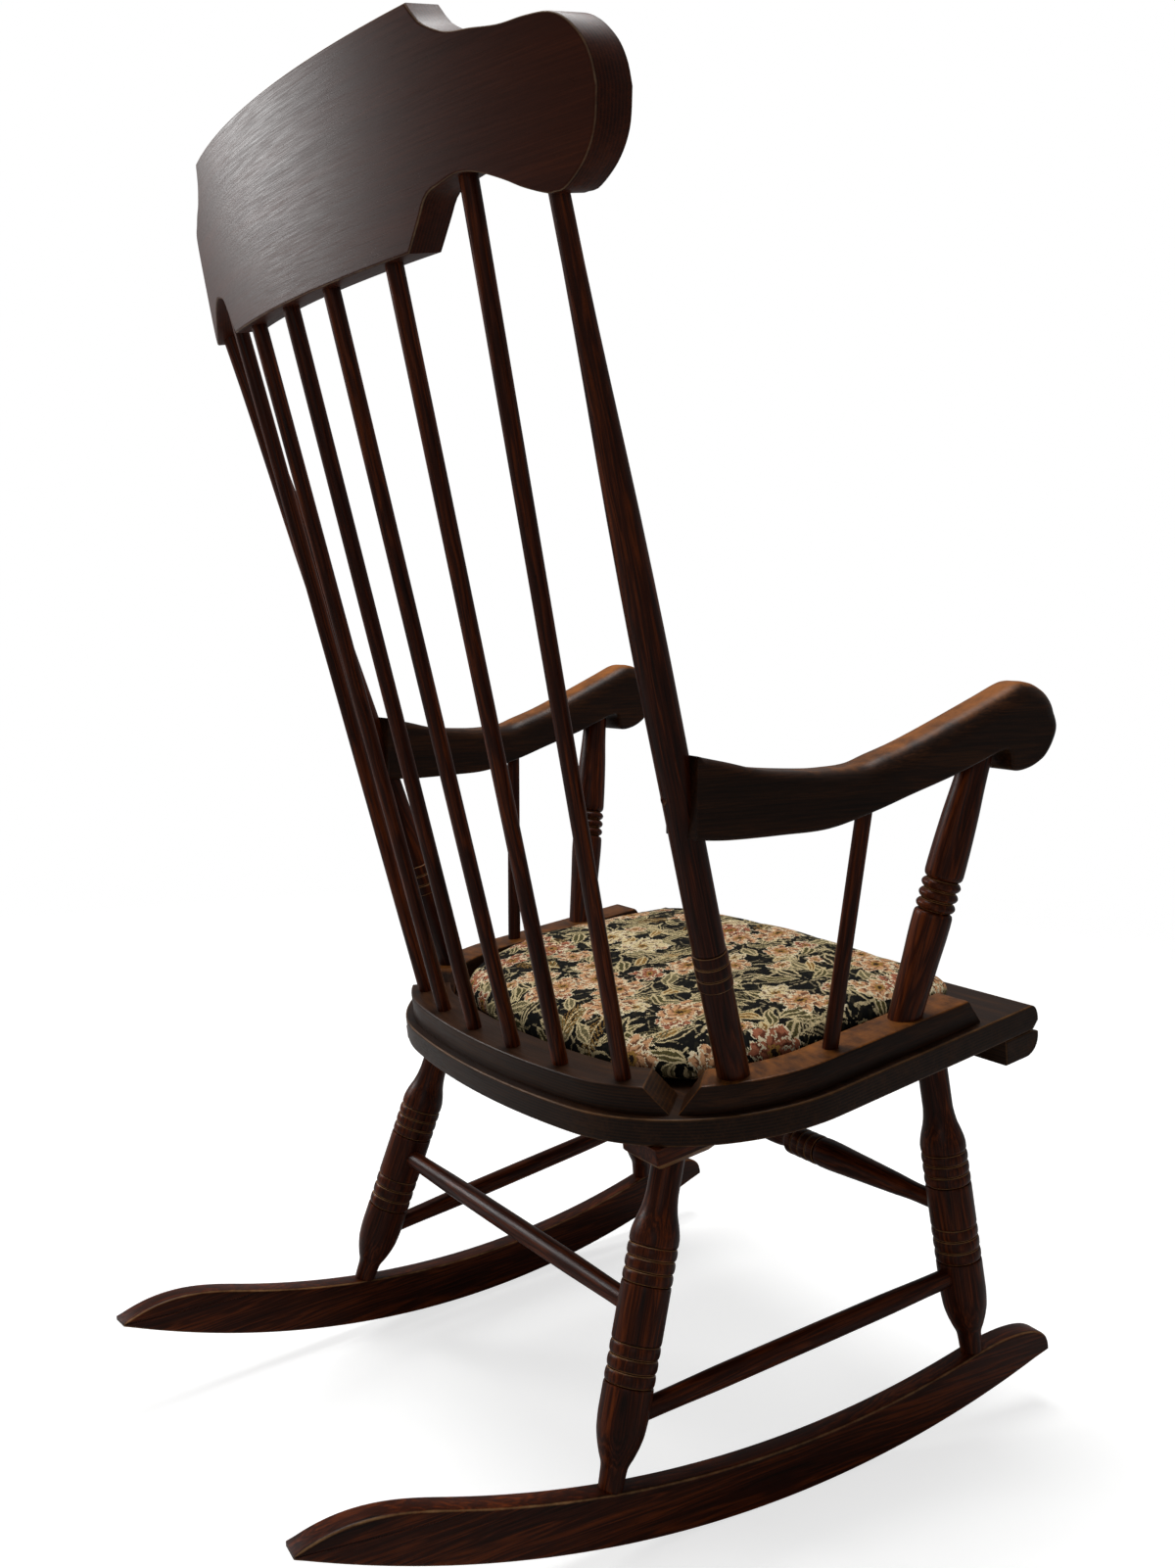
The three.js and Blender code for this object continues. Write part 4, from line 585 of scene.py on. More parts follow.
def jacquard_tapestry():
    """Jacquard tapestry: coloured weft floats over a nearly black warp. Flowers, leaves and tendrils of an all-over
    floral pattern, each grown about the points of its own scattered grid, and quantised to the threads."""
    thread = bpy.context.scene.chair_cushion.thread
    material, tree = blank("jacquard_tapestry")
    times, fused, minus, sine = reckoners(tree, "MULTIPLY", "MULTIPLY_ADD", "SUBTRACT", "SINE")
    above, below = reckoners(tree, "GREATER_THAN", "LESS_THAN")
    scaled, shifted, between = reckoners(tree, "MULTIPLY", "ADD", "SUBTRACT", kind="VectorMath")
    over, whole, part = reckoners(tree, "DIVIDE", "FLOOR", "FRACTION", kind="VectorMath")
    pitch = (thread, thread * 0.8, 1.0)
    counted = over(put(tree, "Attribute", attribute_name="weave").outputs["Vector"], pitch)
    cell = whole(counted)
    snapped = scaled(shifted(cell, (0.5, 0.5, 0.0)), pitch)
    drift = between(noise(tree, snapped, 0.035, 1.0, dimensions="2D").outputs[1], (0.5, 0.5, 0.5))
    drift = put(tree, "VectorMath", {0: drift, "Scale": 13.0}, operation="SCALE")
    bent = shifted(snapped, drift)

    shadow = noise(tree, snapped, 0.16, dimensions="2D")
    colour = mixed(tree, shade(tree, "SMOOTHSTEP", 0.54, 0.66, shadow), yarn("ground"), yarn("moss"))
    ragged = minus(noise(tree, snapped, 0.22, dimensions="2D"), 0.5)
    for spacing, width, share in TENDRILS:
        net = {"Vector": scaled(bent, (1 / spacing, 1 / spacing, 0)), "Scale": 1.0}
        border = put(tree, "TexVoronoi", net, voronoi_dimensions="2D", feature="DISTANCE_TO_EDGE")
        broken = times(below(border, width), above(shadow, 0.47))
        colour = mixed(tree, times(broken, share), colour, yarn("straw"))
    for kind in LEAVES:
        colour = leaves(tree, colour, bent, ragged, *kind)
    for kind in FLOWERS:
        colour = flowers(tree, colour, bent, ragged, *kind)

    # Each float of the weft is a shade of its own and stands over the warp in its middle
    chance = put(tree, "TexWhiteNoise", {"Vector": cell}, noise_dimensions="2D").outputs["Value"]
    colour = mixed(tree, shade(tree, "LINEAR", 0.5, 2.4, chance), colour, yarn("ground"))
    axes = put(tree, "SeparateXYZ", (part(counted),)).outputs
    ridge = sine(times(axes[1], math.pi))
    float_end = sine(times(axes[0], math.pi))
    height = fused(chance, 0.35, times(ridge, fused(float_end, 0.5, 0.5)))
    colour = mixed(tree, shade(tree, "LINEAR", 0.9, 0.0, ridge), colour, yarn("gap"))
    surfaced(tree, colour, height, 0.55, 0.0005, {"Roughness": 0.82, "Specular IOR Level": 0.06})
    return material


# Pieces


def linked(name, data):
    """A new object in the scene."""
    thing = bpy.data.objects.new(name, data)
    bpy.context.scene.collection.objects.link(thing)
    return thing


def keep(mesh, name, kind, key, values):
    """Stores a value for each point of a mesh."""
    mesh.attributes.new(name, kind, "POINT").data.foreach_set(key, np.asarray(values).astype(np.float32).ravel())


def piece(
    name, rings, matrix, slot, nodes, wear_and_highlight=0.2, order=(0, 1, 2), grain=None, capped=True, sharp=38, body="chair_frame"
):
    """Skins rings of points, all with the same count, into a closed piece. Faces join each point with the next on its
    ring and on the next ring, and a flat face closes each end. Each point keeps its place along and across the grain,
    in millimetres, and a value for how much paler it is, standing for scuffed stain and for painted highlights and
    painted top light."""
    rings, wear_and_highlight = np.asarray(rings, float), np.asarray(wear_and_highlight, float)
    count, around = rings.shape[:2]
    index = np.arange(count * around).reshape(count, around)
    following = np.roll(index, -1, 1)
    faces = np.stack([index[:-1], following[:-1], following[1:], index[1:]], -1).reshape(-1, 4).tolist()
    if capped:
        faces += [index[0][::-1].tolist(), index[-1].tolist()]
    mesh = bpy.data.meshes.new(name)
    mesh.from_pydata((carried(matrix, rings.reshape(-1, 3)) * MM).tolist(), [], faces)
    shift = np.random.default_rng(sum(map(ord, name))).uniform(-90, 90, 3) * (1, 1, 6)
    if slot in ("seat_stain", "crest_stain"):
        shift[0] = shift[1] = 0
    local = (rings if grain is None else grain).reshape(-1, 3)[:, list(order)] + shift
    keep(mesh, "grain", "FLOAT_VECTOR", "vector", local)
    keep(mesh, "wear_and_highlight", "FLOAT", "value", np.broadcast_to(wear_and_highlight[:, None] if wear_and_highlight.ndim == 1 else wear_and_highlight, (count, around)))
    return settle(name, mesh, body, slot, nodes, sharp)


def settle(name, mesh, body, slot, nodes, sharp):
    """Merges doubles, turns faces outwards, smooths all but sharp edges, and puts the piece in place of its nodes."""
    work = bmesh.new()
    work.from_mesh(mesh)
    bmesh.ops.remove_doubles(work, verts=work.verts, dist=2e-6)
    bmesh.ops.recalc_face_normals(work, faces=work.faces)
    work.to_mesh(mesh)
    work.free()
    mesh.shade_smooth()
    mesh.set_sharp_from_angle(angle=math.radians(sharp))
    thing = linked(name, mesh)
    mesh.materials.append(finish[slot])
    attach(thing, body)
    if nodes:
        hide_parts(*nodes)
    return thing


def turning(node, profile, foot, head, sides=None):
    """A turned piece: profile rows of (along, radius, wear) spun about the line from foot to head."""
    sides = sides or bpy.context.scene.chair_turning.sides
    axis = (head - foot) / np.linalg.norm(head - foot)
    side = np.cross(axis, (0.0, 1.0, 0.0) if abs(axis[1]) < 0.9 else (0.0, 0.0, 1.0))
    side /= np.linalg.norm(side)
    matrix = np.eye(4)
    matrix[:3] = np.column_stack([side, np.cross(axis, side), axis, foot])
    angle = 2 * math.pi * np.arange(sides) / sides
    along, radius, worn_and_lit = np.asarray(profile, float).T
    radius = radius[:, None]
    along = np.broadcast_to(along[:, None], (len(along), sides))
    rings = np.stack([radius * np.cos(angle), radius * np.sin(angle), along], -1)
    piece("turned_" + node, rings, matrix, "walnut_stain", [node], worn_and_lit)


def dowel(node, foot, head, radius, entry, steps):
    """A straight dowel that goes a little way into the rail at its foot and further in at its head."""
    length = np.linalg.norm(head - foot)
    profile = flow([(-DOWEL_ENTRY, radius), (length / 2, radius), (length + entry, radius)], steps)
    turning(node, profile, foot, head, DOWEL_SIDES)


def towards(foot, head, lift):
    """The point so many millimetres from the foot on the line to the head."""
    return foot + (head - foot) * lift / np.linalg.norm(head - foot)


# Seat


def seat_plan():
    """Outline of the seat: straight sides, a wide arc at each rear corner and a flatter arc behind."""
    side = np.linspace(-NOSE_REACH, CORNER_CENTRE, 9)[:-1]
    half = np.vstack([
        np.column_stack([side_x(0.0, side), side]),
        np.column_stack(on_corner(0.0, np.linspace(SIDE_ANGLE, BACK_ANGLE, 30))),
        np.column_stack(on_back(0.0, np.linspace(BACK_ANGLE, math.pi / 2, 12)[1:])),
    ])
    return np.vstack([half, (half * (-1, 1))[::-1][1:]])


def make_seat_board():
    """The board's rings lie at rising heights, each the plan moved in: at the sides by a small quarter round, at the
    front by a quarter ellipse above and a slope below."""
    plan = seat_plan()
    arc = SEAT_EDGE * (1 - np.cos(np.linspace(0, math.pi / 2, 5)))
    high = -NOSE_DROP * (1 - np.cos(np.linspace(math.pi / 2, 0, 13)))
    heights = np.concatenate([arc - SEAT_THICKNESS, [SLOPE_ROW, -NOSE_DROP - NOSE_FLAT], high, -arc])
    face = (SEAT_EDGE + FACE_INSET, NOSE_REACH + FACE_INSET)
    rows = [(-SEAT_THICKNESS, *face)]
    for z in np.unique(np.round(heights, 3)):
        nose = 0.0
        if z > -NOSE_DROP:
            nose = NOSE_REACH * (1 - math.sqrt(max(0.0, 1 - ((z + NOSE_DROP) / NOSE_DROP) ** 2)))
        elif z < -NOSE_DROP - NOSE_FLAT:
            nose = NOSE_REACH * (-NOSE_DROP - NOSE_FLAT - z) / (SEAT_THICKNESS - NOSE_DROP - NOSE_FLAT)
        near = min(-z, z + SEAT_THICKNESS)
        rows.append((z, SEAT_EDGE - math.sqrt(max(0.0, SEAT_EDGE**2 - max(0.0, SEAT_EDGE - near) ** 2)), nose))
    rings, wear_and_highlight = [], []
    for z, side, nose in (*rows, (0.0, *face)):
        distance = np.full(len(plan), side)
        distance[-1] = nose
        rings.append(np.column_stack([inset(plan, distance), np.full(len(plan), z)]))
        wear_and_highlight.append(1.0 if 0.1 < side < SEAT_EDGE - 0.1 else 0.25)
    piece("plywood_seat", rings, SEAT, "seat_stain", ["seat_board"], wear_and_highlight, (1, 2, 0))


def make_front_roll():
    """The strip's side outline, a notch, a wide quarter round and square corners, carried across the seat."""
    top = -SEAT_THICKNESS - REST_GAP
    bottom = top - ROLL_HEIGHT
    angle = np.linspace(-math.pi / 2, -math.pi, 12)
    behind = [(ROLL_DEPTH, top), (ROLL_DEPTH, bottom + ROLL_ROW), (ROLL_DEPTH, bottom)]
    turn = np.column_stack([np.cos(angle), np.sin(angle)])
    curve = (ROLL_ROUND - NOSE_REACH, bottom + ROLL_ROUND) + ROLL_ROUND * turn
    before = [(-NOSE_REACH, top - ROLL_NOTCH), (0, top), (ROLL_DEPTH / 2, top)]
    rings, wear_and_highlight = eased_board(np.vstack([behind, curve, before])[::-1], SEAT_HALF_WIDTH, ROLL_EDGE)
    piece("rolled_front_strip", rings[..., [2, 0, 1]], SEAT, "seat_stain", ["front_roll"], wear_and_highlight, (1, 2, 0))


def make_rail(name, node, slot, width, count, rubbed_and_lit, along):
    """A rail on the seat: its section, with quarter-round top edges, is carried along the seat's edge. At each end it
    is drawn in on a quarter round. along(inset, height, share, trim) gives the plan point, and the share before it how
    far the rail's top is made paler: partly scuffed stain, partly painted light where the light from above falls on it."""
    angle = np.linspace(0, math.pi / 2, 5)
    cos, sin = np.cos(angle), np.sin(angle)
    outer = np.column_stack([RAIL_SETBACK + RAIL_EDGE * (1 - cos), RAIL_HEIGHT - RAIL_EDGE * (1 - sin)])
    section = np.vstack([
        [(RAIL_SETBACK, REST_GAP), (RAIL_SETBACK, RAIL_HEIGHT / 2)],
        outer,
        [(RAIL_SETBACK + width / 2, RAIL_HEIGHT)],
        np.column_stack([2 * RAIL_SETBACK + width - outer[::-1, 0], outer[::-1, 1]]),
        [(RAIL_SETBACK + width, RAIL_HEIGHT / 2), (RAIL_SETBACK + width, REST_GAP)],
    ])[::-1]
    # The top of the rail is made paler: partly scuffed stain, partly painted light from above
    top_wear_and_light = np.exp(-(((section[:, 1] - RAIL_HEIGHT + 0.3) / 1.2) ** 2)) * rubbed_and_lit
    quarter = [math.pi / 2, math.pi / 3, math.pi / 6]
    middle = [(k / count, 0.0) for k in range(count + 1)]
    rows = [(0.0, a) for a in quarter] + middle + [(1.0, a) for a in quarter[::-1]]
    rings, wear_and_highlight, grain = [], [], []
    for share, a in rows:
        drawn = inset(section, RAIL_END_EDGE * (1 - math.cos(a)))
        trim = RAIL_END_EDGE * (1 - math.sin(a))
        rings.append(np.column_stack([[along(q, z, share, trim) for q, z in drawn], drawn[:, 1]]))
        grain.append(np.column_stack([drawn, np.full(len(drawn), share * RAIL_GRAIN_LENGTH)]))
        wear_and_highlight.append(np.maximum(top_wear_and_light, math.sin(2 * a) if a else 0))
    piece(name, rings, SEAT, slot, [node], np.array(wear_and_highlight), grain=np.array(grain))


def make_back_rail():
    def along(q, z, share, trim):
        """From one sloping end round the corner arc, along the back arc and round the other corner."""
        v = abs(1 - 2 * share)
        if v <= 0.5:
            x, y = on_back(q, math.pi / 2 + (BACK_ANGLE - math.pi / 2) * v / 0.5)
        else:
            end = RAIL_END_ANGLE + RAIL_END_TURN + math.asin((RAIL_END_SLOPE * z + trim) / (CORNER_RADIUS - q))
            x, y = on_corner(q, BACK_ANGLE + (end - BACK_ANGLE) * (v - 0.5) / 0.5)
        return x if share < 0.5 else -x, y

    make_rail("bent_back_rail", "back_rail", "seat_stain", BACK_RAIL_WIDTH, 64, 0.45, along)


def make_side_rail(sign):
    def along(q, z, share, trim):
        """From the bevelled front end straight back and round the corner arc to the sloping end."""
        if share <= 0.5:
            start = SIDE_RAIL_FRONT + SIDE_RAIL_BEVEL * z / RAIL_HEIGHT + trim
            y = start + (on_corner(q, SIDE_ANGLE)[1] - start) * share / 0.5
            return sign * side_x(q, y), y
        end = RAIL_END_ANGLE - RAIL_END_TURN - math.asin((RAIL_END_SLOPE * z + trim) / (CORNER_RADIUS - q))
        x, y = on_corner(q, SIDE_ANGLE + (end - SIDE_ANGLE) * (share - 0.5) / 0.5)
        return sign * x, y

    node = f"side_rail_{SIDES[sign]}"
    # The side rails' tops are made much paler: partly scuffed stain, partly painted light from above
    make_rail("bent_" + node, node, "worn_stain", SIDE_RAIL_WIDTH, 36, 0.92, along)


def make_leg_block(sign):
    """A block drawn as rounded rectangles that shrink at its lower chamfer."""
    name = SIDES[sign]
    low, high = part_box(f"leg_block_{name}")
    middle = carried(np.linalg.inv(SEAT), (np.array(low) + np.array(high)) / 2 / MM)
    angle = np.linspace(0, math.pi / 2, 5)
    corner = np.column_stack([np.cos(angle), np.sin(angle)])
    quads = [((1, 1), corner), ((-1, 1), corner[::-1]), ((-1, -1), corner), ((1, -1), corner[::-1])]
    rings = []
    for z, cut, _ in BLOCK_ROWS:
        half = np.array([BLOCK_HALF_WIDTH - cut, BLOCK_HALF_LENGTH - cut]) - BLOCK_ROUND
        ring = np.vstack([(half + BLOCK_ROUND * c) * s for s, c in quads])
        rings.append(np.column_stack([ring + middle[:2], np.full(len(ring), z - SEAT_THICKNESS)]))
    wear_and_highlight = [row[2] for row in BLOCK_ROWS]
    piece(f"chamfered_block_{name}", rings, SEAT, "walnut_stain", [f"leg_block_{name}"], wear_and_highlight, (0, 2, 1))


# Crest and back


def make_crest():
    """A bent board. Its outline is worked out at the same distances from the middle above and below; each ring is the
    outline drawn in on a quarter round, and the faces close on a line halfway up. A point goes back by the arc of the
    bend at its own depth in the board."""
    top = spline(CREST_TOP, 12)
    under = spline(CREST_UNDER, 12)[::-1]
    ear = np.sin(np.linspace(0, math.pi / 2, 46)[1:])
    corner, flat = CREST_TOP[0][0], CREST_UNDER[-1][0]
    shares = np.concatenate([np.linspace(0, flat, 16), np.linspace(flat, corner, 11)[1:], corner + (1 - corner) * ear])
    high = np.where(shares <= corner, 1.0, np.interp(shares, top[:, 0], top[:, 1]))
    low = np.where(shares <= flat, 0.0, np.interp(shares, under[:, 0], under[:, 1]))
    low[-1] = high[-1] = CREST_TOP[-1][1]
    x = shares * CREST_HALF
    spine = np.column_stack([x * 0.95, (high + low) / 2 * CREST_HEIGHT * 0.5 + 0.25 * CREST_HEIGHT])

    def loop(lower, upper):
        return np.vstack([lower, upper[::-1][1:], (upper * (-1, 1))[1:], (lower * (-1, 1))[::-1][1:-1]])

    outline = loop(np.column_stack([x, low * CREST_HEIGHT]), np.column_stack([x, high * CREST_HEIGHT]))
    line = loop(spine, spine)
    rim, wear_and_highlight = eased_board(outline, CREST_THICKNESS / 2, CREST_EDGE)
    faces = [
        [np.column_stack([ring[:, :2] + (line - ring[:, :2]) * t, ring[:, 2]]) for t in CREST_FACE_SHARES]
        for ring in (rim[0], rim[-1])
    ]
    rim = np.concatenate([faces[0], rim, faces[1][::-1]])
    wear_and_highlight = np.pad(wear_and_highlight, ((len(CREST_FACE_SHARES),) * 2, (0, 0)), constant_values=0.15)
    x, z, depth = rim[..., 0], rim[..., 1], rim[..., 2]
    rings, grain = np.stack([x, crest_depth(x, depth), z], -1), np.stack([depth, z, x], -1)
    piece("bent_crest_board", rings, CREST, "crest_stain", ["crest_rail"], wear_and_highlight, grain=grain, capped=False)


def post_foot(sign):
    x, y = on_corner(RAIL_SETBACK + SIDE_RAIL_WIDTH / 2, POST_SEAT_ANGLE)
    return seat_point(sign * x, y, RAIL_HEIGHT)


def make_back_post(sign):
    """Even up to a little over half its height, then a straight taper, with three rings near its foot."""
    foot, head = post_foot(sign), crest_point(POST_HEAD, sign)
    length = np.linalg.norm(head - foot)
    low, high = (share * length for share in POST_RINGS)
    shaft = [(high + 0.6, POST_RADIUS - 0.1), (high + 3, POST_RADIUS), (0.5 * length, POST_RADIUS)]
    profile = np.vstack([
        flow([(-8, POST_RADIUS), (low - 1.6, POST_RADIUS), (low, POST_RADIUS)]),
        beads(low, high, 3, POST_RING_RADIUS, POST_GROOVE, 4.5),
        flow([*shaft, (0.62 * length, 11.9), (length, POST_TIP), (length + HEAD_ENTRY, POST_TIP)]),
    ])
    turning(f"back_post_{SIDES[sign]}", profile, foot, head)


def make_back_spindles():
    """Straight dowels from the back rail into the crest."""
    for sign in SIDES:
        for step, place in enumerate(SPINDLE_HEADS):
            across = SPINDLE_SPACING * (step + 0.5)
            foot = seat_point(across * sign, rear_edge(SPINDLE_INSET, across), RAIL_HEIGHT)
            number = 3 - step if sign < 0 else 4 + step
            dowel(f"back_spindle_{number}", foot, crest_point(place, sign), SPINDLE_RADIUS, 14, 10)


# Arms


def arm_frame(sign):
    joint = towards(post_foot(sign), crest_point(POST_HEAD, sign), ARM_JOINT_LIFT)
    return moved(*joint) @ turned(2, sign * ARM_SPLAY)


def arm_lift(share):
    return share * ARM_RISE - ARM_DROP


def under_arm(sign, reach, rise):
    """A point under an arm, at a distance before its joint."""
    return carried(arm_frame(sign), (0, -reach, arm_lift(rise)))


def on_side_rail(sign, back):
    """A point on top of a side rail, along its middle."""
    return seat_point(side_x(RAIL_SETBACK + SIDE_RAIL_WIDTH / 2, back) * sign, back, RAIL_HEIGHT)


def make_arm(sign):
    """The arm's side outline, a smooth curve round the scroll and back underneath, given its width with edges that are
    rounder on top than below. The top is made paler, the more so the nearer the scroll: partly stain scuffed by hands,
    partly painted light where the light from above falls on it."""
    curve = spline([*ARM_TOP, *ARM_UNDER], ARM_STEPS)
    outline = np.column_stack([(curve[:, 0] - 1) * ARM_LENGTH - ARM_END_GAP, arm_lift(curve[:, 1])])
    top = (len(ARM_TOP) - 3) * ARM_STEPS
    place = np.arange(len(outline))
    radius = ARM_UNDER_EDGE + np.clip(place / 40.0, 0.35, 1) * ARM_SHOULDER * np.clip((top - place) / 24.0, 0, 1)
    near_end = np.minimum(place, len(outline) - 1 - place)
    radius = np.where(near_end < 2, 1.0, radius)
    kept = near_end != 1
    place = place[kept]
    rings, _ = eased_board(outline[kept], ARM_WIDTH / 2, radius[kept], 6)
    # The whole top of the arm is made paler over its shoulders: partly scuffed stain, partly painted light from above
    over = np.cos(np.linspace(math.pi / 2, 0, 7))
    over = np.concatenate([[0], over, over[::-1], [0]])[:, None]
    wear_and_highlight = 1.1 * over**1.3 * (0.55 + 0.75 * place / top) * np.clip((top - place) / 20.0, 0, 1)
    node = f"arm_{SIDES[sign]}"
    piece("scrolled_" + node, rings[..., [2, 0, 1]], arm_frame(sign), "worn_stain", [node], wear_and_highlight, (0, 2, 1))


def make_arm_post(sign):
    """A long swelling foot, three round beads with deep grooves, and a head that tapers into the arm."""
    foot, head = on_side_rail(sign, ARM_POST_FOOT), under_arm(sign, ARM_POST_REACH, ARM_POST_RISE)
    radius, length = ARM_POST_RADIUS, np.linalg.norm(head - foot)
    low, high = (share * length for share in ARM_POST_RINGS)
    swell, taper = (np.array(rows) * (length, radius) for rows in (ARM_POST_SWELL, ARM_POST_TAPER))
    profile = np.vstack([
        flow([(-9, 0.84 * radius), *swell]),
        beads(low, high, 3, radius, ARM_POST_GROOVE * radius, 1.7),
        flow([*taper, (length + HEAD_ENTRY, ARM_POST_END * radius)]),
    ])
    turning(f"arm_post_{SIDES[sign]}", profile, foot, head)


def make_arm_spindle(sign):
    foot, head = on_side_rail(sign, ARM_SPINDLE_FOOT), under_arm(sign, ARM_SPINDLE_REACH, ARM_SPINDLE_RISE)
    dowel(f"arm_spindle_{SIDES[sign]}", foot, head, ARM_SPINDLE_RADIUS, HEAD_ENTRY, 8)


def make_arm_plug(sign):
    """A plug with a low domed head over the screw that holds the arm."""
    start, inner = (carried(arm_frame(sign), (0, POST_RADIUS + out, 0)) for out in (PLUG_PROUD, -PLUG_SUNK))
    turning(f"arm_plug_{SIDES[sign]}", PLUG_DOME, start, inner, 24)


# Legs and stretchers


def leg_ends(row, sign):
    """Foot and head of a leg, on the rocker and under the seat."""
    share, spread, back, _ = LEGS[row]
    reach = -share * ROCKER_LENGTH
    return carried(ROCKERS[sign], (0, reach, rocker_top(reach))), seat_point(spread * sign, back, -SEAT_THICKNESS)


def make_leg(row, sign):
    """A foot that swells from the rocker, two groups of three rings on an even shaft, and a neck under a collar."""
    foot, head = leg_ends(row, sign)
    groove = bpy.context.scene.chair_turning.groove
    low, high = LEGS[row][3]
    second, third = LEG_HIGH_RINGS

    def scaled(*rows):
        return np.array(rows) * (LEG_TURNING, LEG_RADIUS)

    def rings(start, end):
        return beads(start * LEG_TURNING, end * LEG_TURNING, 3, LEG_RADIUS + 0.1, groove, 2.6)

    neck = [(LEG_NECK_END * LEG_TURNING, LEG_NECK), (np.linalg.norm(head - foot) + 10, LEG_NECK)]
    profile = np.vstack([
        flow([(-9, 0.38 * LEG_RADIUS), *scaled(*LEG_FOOT, (low - 0.008, 1), (low - 0.002, 0.985))]),
        rings(low, high),
        flow(scaled((high + 0.002, 0.985), (high + 0.008, 1), (0.47, 1), (0.541, 1), (second - 0.002, 0.985))),
        rings(second, third),
        flow([*scaled(*LEG_SHOULDER), *neck]),
    ])
    turning(f"leg_{row}_{SIDES[sign]}", profile, foot, head)


def make_stretchers():
    """Dowels that thin a little towards their ends, and a front one with a bulb, four rings and a cone on each half."""
    low, high = SIDE_STRETCHER_LIFTS
    joints = {
        "rear_stretcher": [("rear", sign, REAR_STRETCHER_LIFT) for sign in SIDES],
        "front_stretcher": [("front", sign, FRONT_STRETCHER_LIFT) for sign in SIDES],
        **{f"side_stretcher_{name}": [("rear", sign, low), ("front", sign, high)] for sign, name in SIDES.items()},
    }
    for name, ends in joints.items():
        start, end = (towards(*leg_ends(row, sign), lift) for row, sign, lift in ends)
        half = np.linalg.norm(end - start) / 2
        tip = half - LEG_RADIUS + STRETCHER_ENTRY
        if name == "front_stretcher":
            scale = (half, FRONT_STRETCHER_RADIUS)
            first, last = (share * half for share in FRONT_STRETCHER_RINGS)
            profile = np.vstack([
                flow(np.array(FRONT_STRETCHER_BULB) * scale),
                beads(first, last, 4, FRONT_STRETCHER_RADIUS, FRONT_STRETCHER_GROOVE, 3.4),
                flow([*(np.array(FRONT_STRETCHER_CONE) * scale), (tip - 30, STRETCHER_TIP), (tip, STRETCHER_TIP)]),
            ])
        else:
            middle = [(0, STRETCHER_RADIUS), (0.45 * half, STRETCHER_RADIUS - 0.1)]
            profile = flow([*middle, (tip - 26, STRETCHER_TIP + 0.05), (tip, STRETCHER_TIP)], 8)
        profile = np.vstack([(profile * (-1, 1, 1))[::-1], profile[profile[:, 0] > 0]])
        turning(name, profile, (start + end) / 2, end)


def make_rocker(sign):
    """A sawn rocker: between its arc and its top line, with eased edges that shrink towards the tips."""
    end = ROCKER_LENGTH / 2
    below = np.linspace(-end, end, 90)
    above = end * np.cos(np.linspace(0, math.pi, 90))
    y = np.concatenate([below, above])
    outline = np.column_stack([y, np.concatenate([rocker_floor(below), rocker_top(above)])])
    radius = np.minimum(ROCKER_EDGE, 0.36 * (rocker_top(y) - rocker_floor(y)))
    rings, wear_and_highlight = eased_board(outline, ROCKER_THICKNESS / 2, radius)
    node = f"rocker_{SIDES[sign]}"
    piece("sawn_" + node, rings[..., [2, 0, 1]], ROCKERS[sign], "walnut_stain", [node], wear_and_highlight, (0, 2, 1))


# Cushion and zip


def cushion_plan(inner, steps=10):
    """The cushion's outline less an inset: nearly straight front, rounded corners, drawn-in sides and the seat's rear
    arcs."""
    back = CUSHION_FRONT + CUSHION_CORNER
    corner_x = side_x(CUSHION_SIDE, back) - CUSHION_CORNER
    share = np.linspace(0, 1, steps, endpoint=False)
    front = np.column_stack([share * corner_x, CUSHION_FRONT + inner + CUSHION_BOW * np.cos(share * math.pi / 2)])
    angle = np.linspace(-math.pi / 2, 0, steps)
    radius = CUSHION_CORNER - inner
    front_corner = np.column_stack([corner_x + radius * np.cos(angle), back + radius * np.sin(angle)])
    rear_end = np.array([side_x(CUSHION_SIDE + inner, CORNER_CENTRE), CORNER_CENTRE])
    t = np.linspace(0, 1, 2 * steps)[1:-1]
    straight = front_corner[-1] + (rear_end - front_corner[-1]) * t[:, None]
    straight[:, 0] -= CUSHION_BOW * np.sin(math.pi * t)
    rear = BACK_RADIUS - ZIP_RADIUS + inner
    rear_corner = np.column_stack(on_corner(rear, np.linspace(0, BACK_ANGLE, 2 * steps)))
    rear_arc = np.column_stack(on_back(rear, np.linspace(BACK_ANGLE, math.pi / 2, steps)[1:]))
    half = np.vstack([front, front_corner, straight, rear_corner, rear_arc])
    return np.vstack([half, (half * (-1, 1))[::-1][1:-1]])


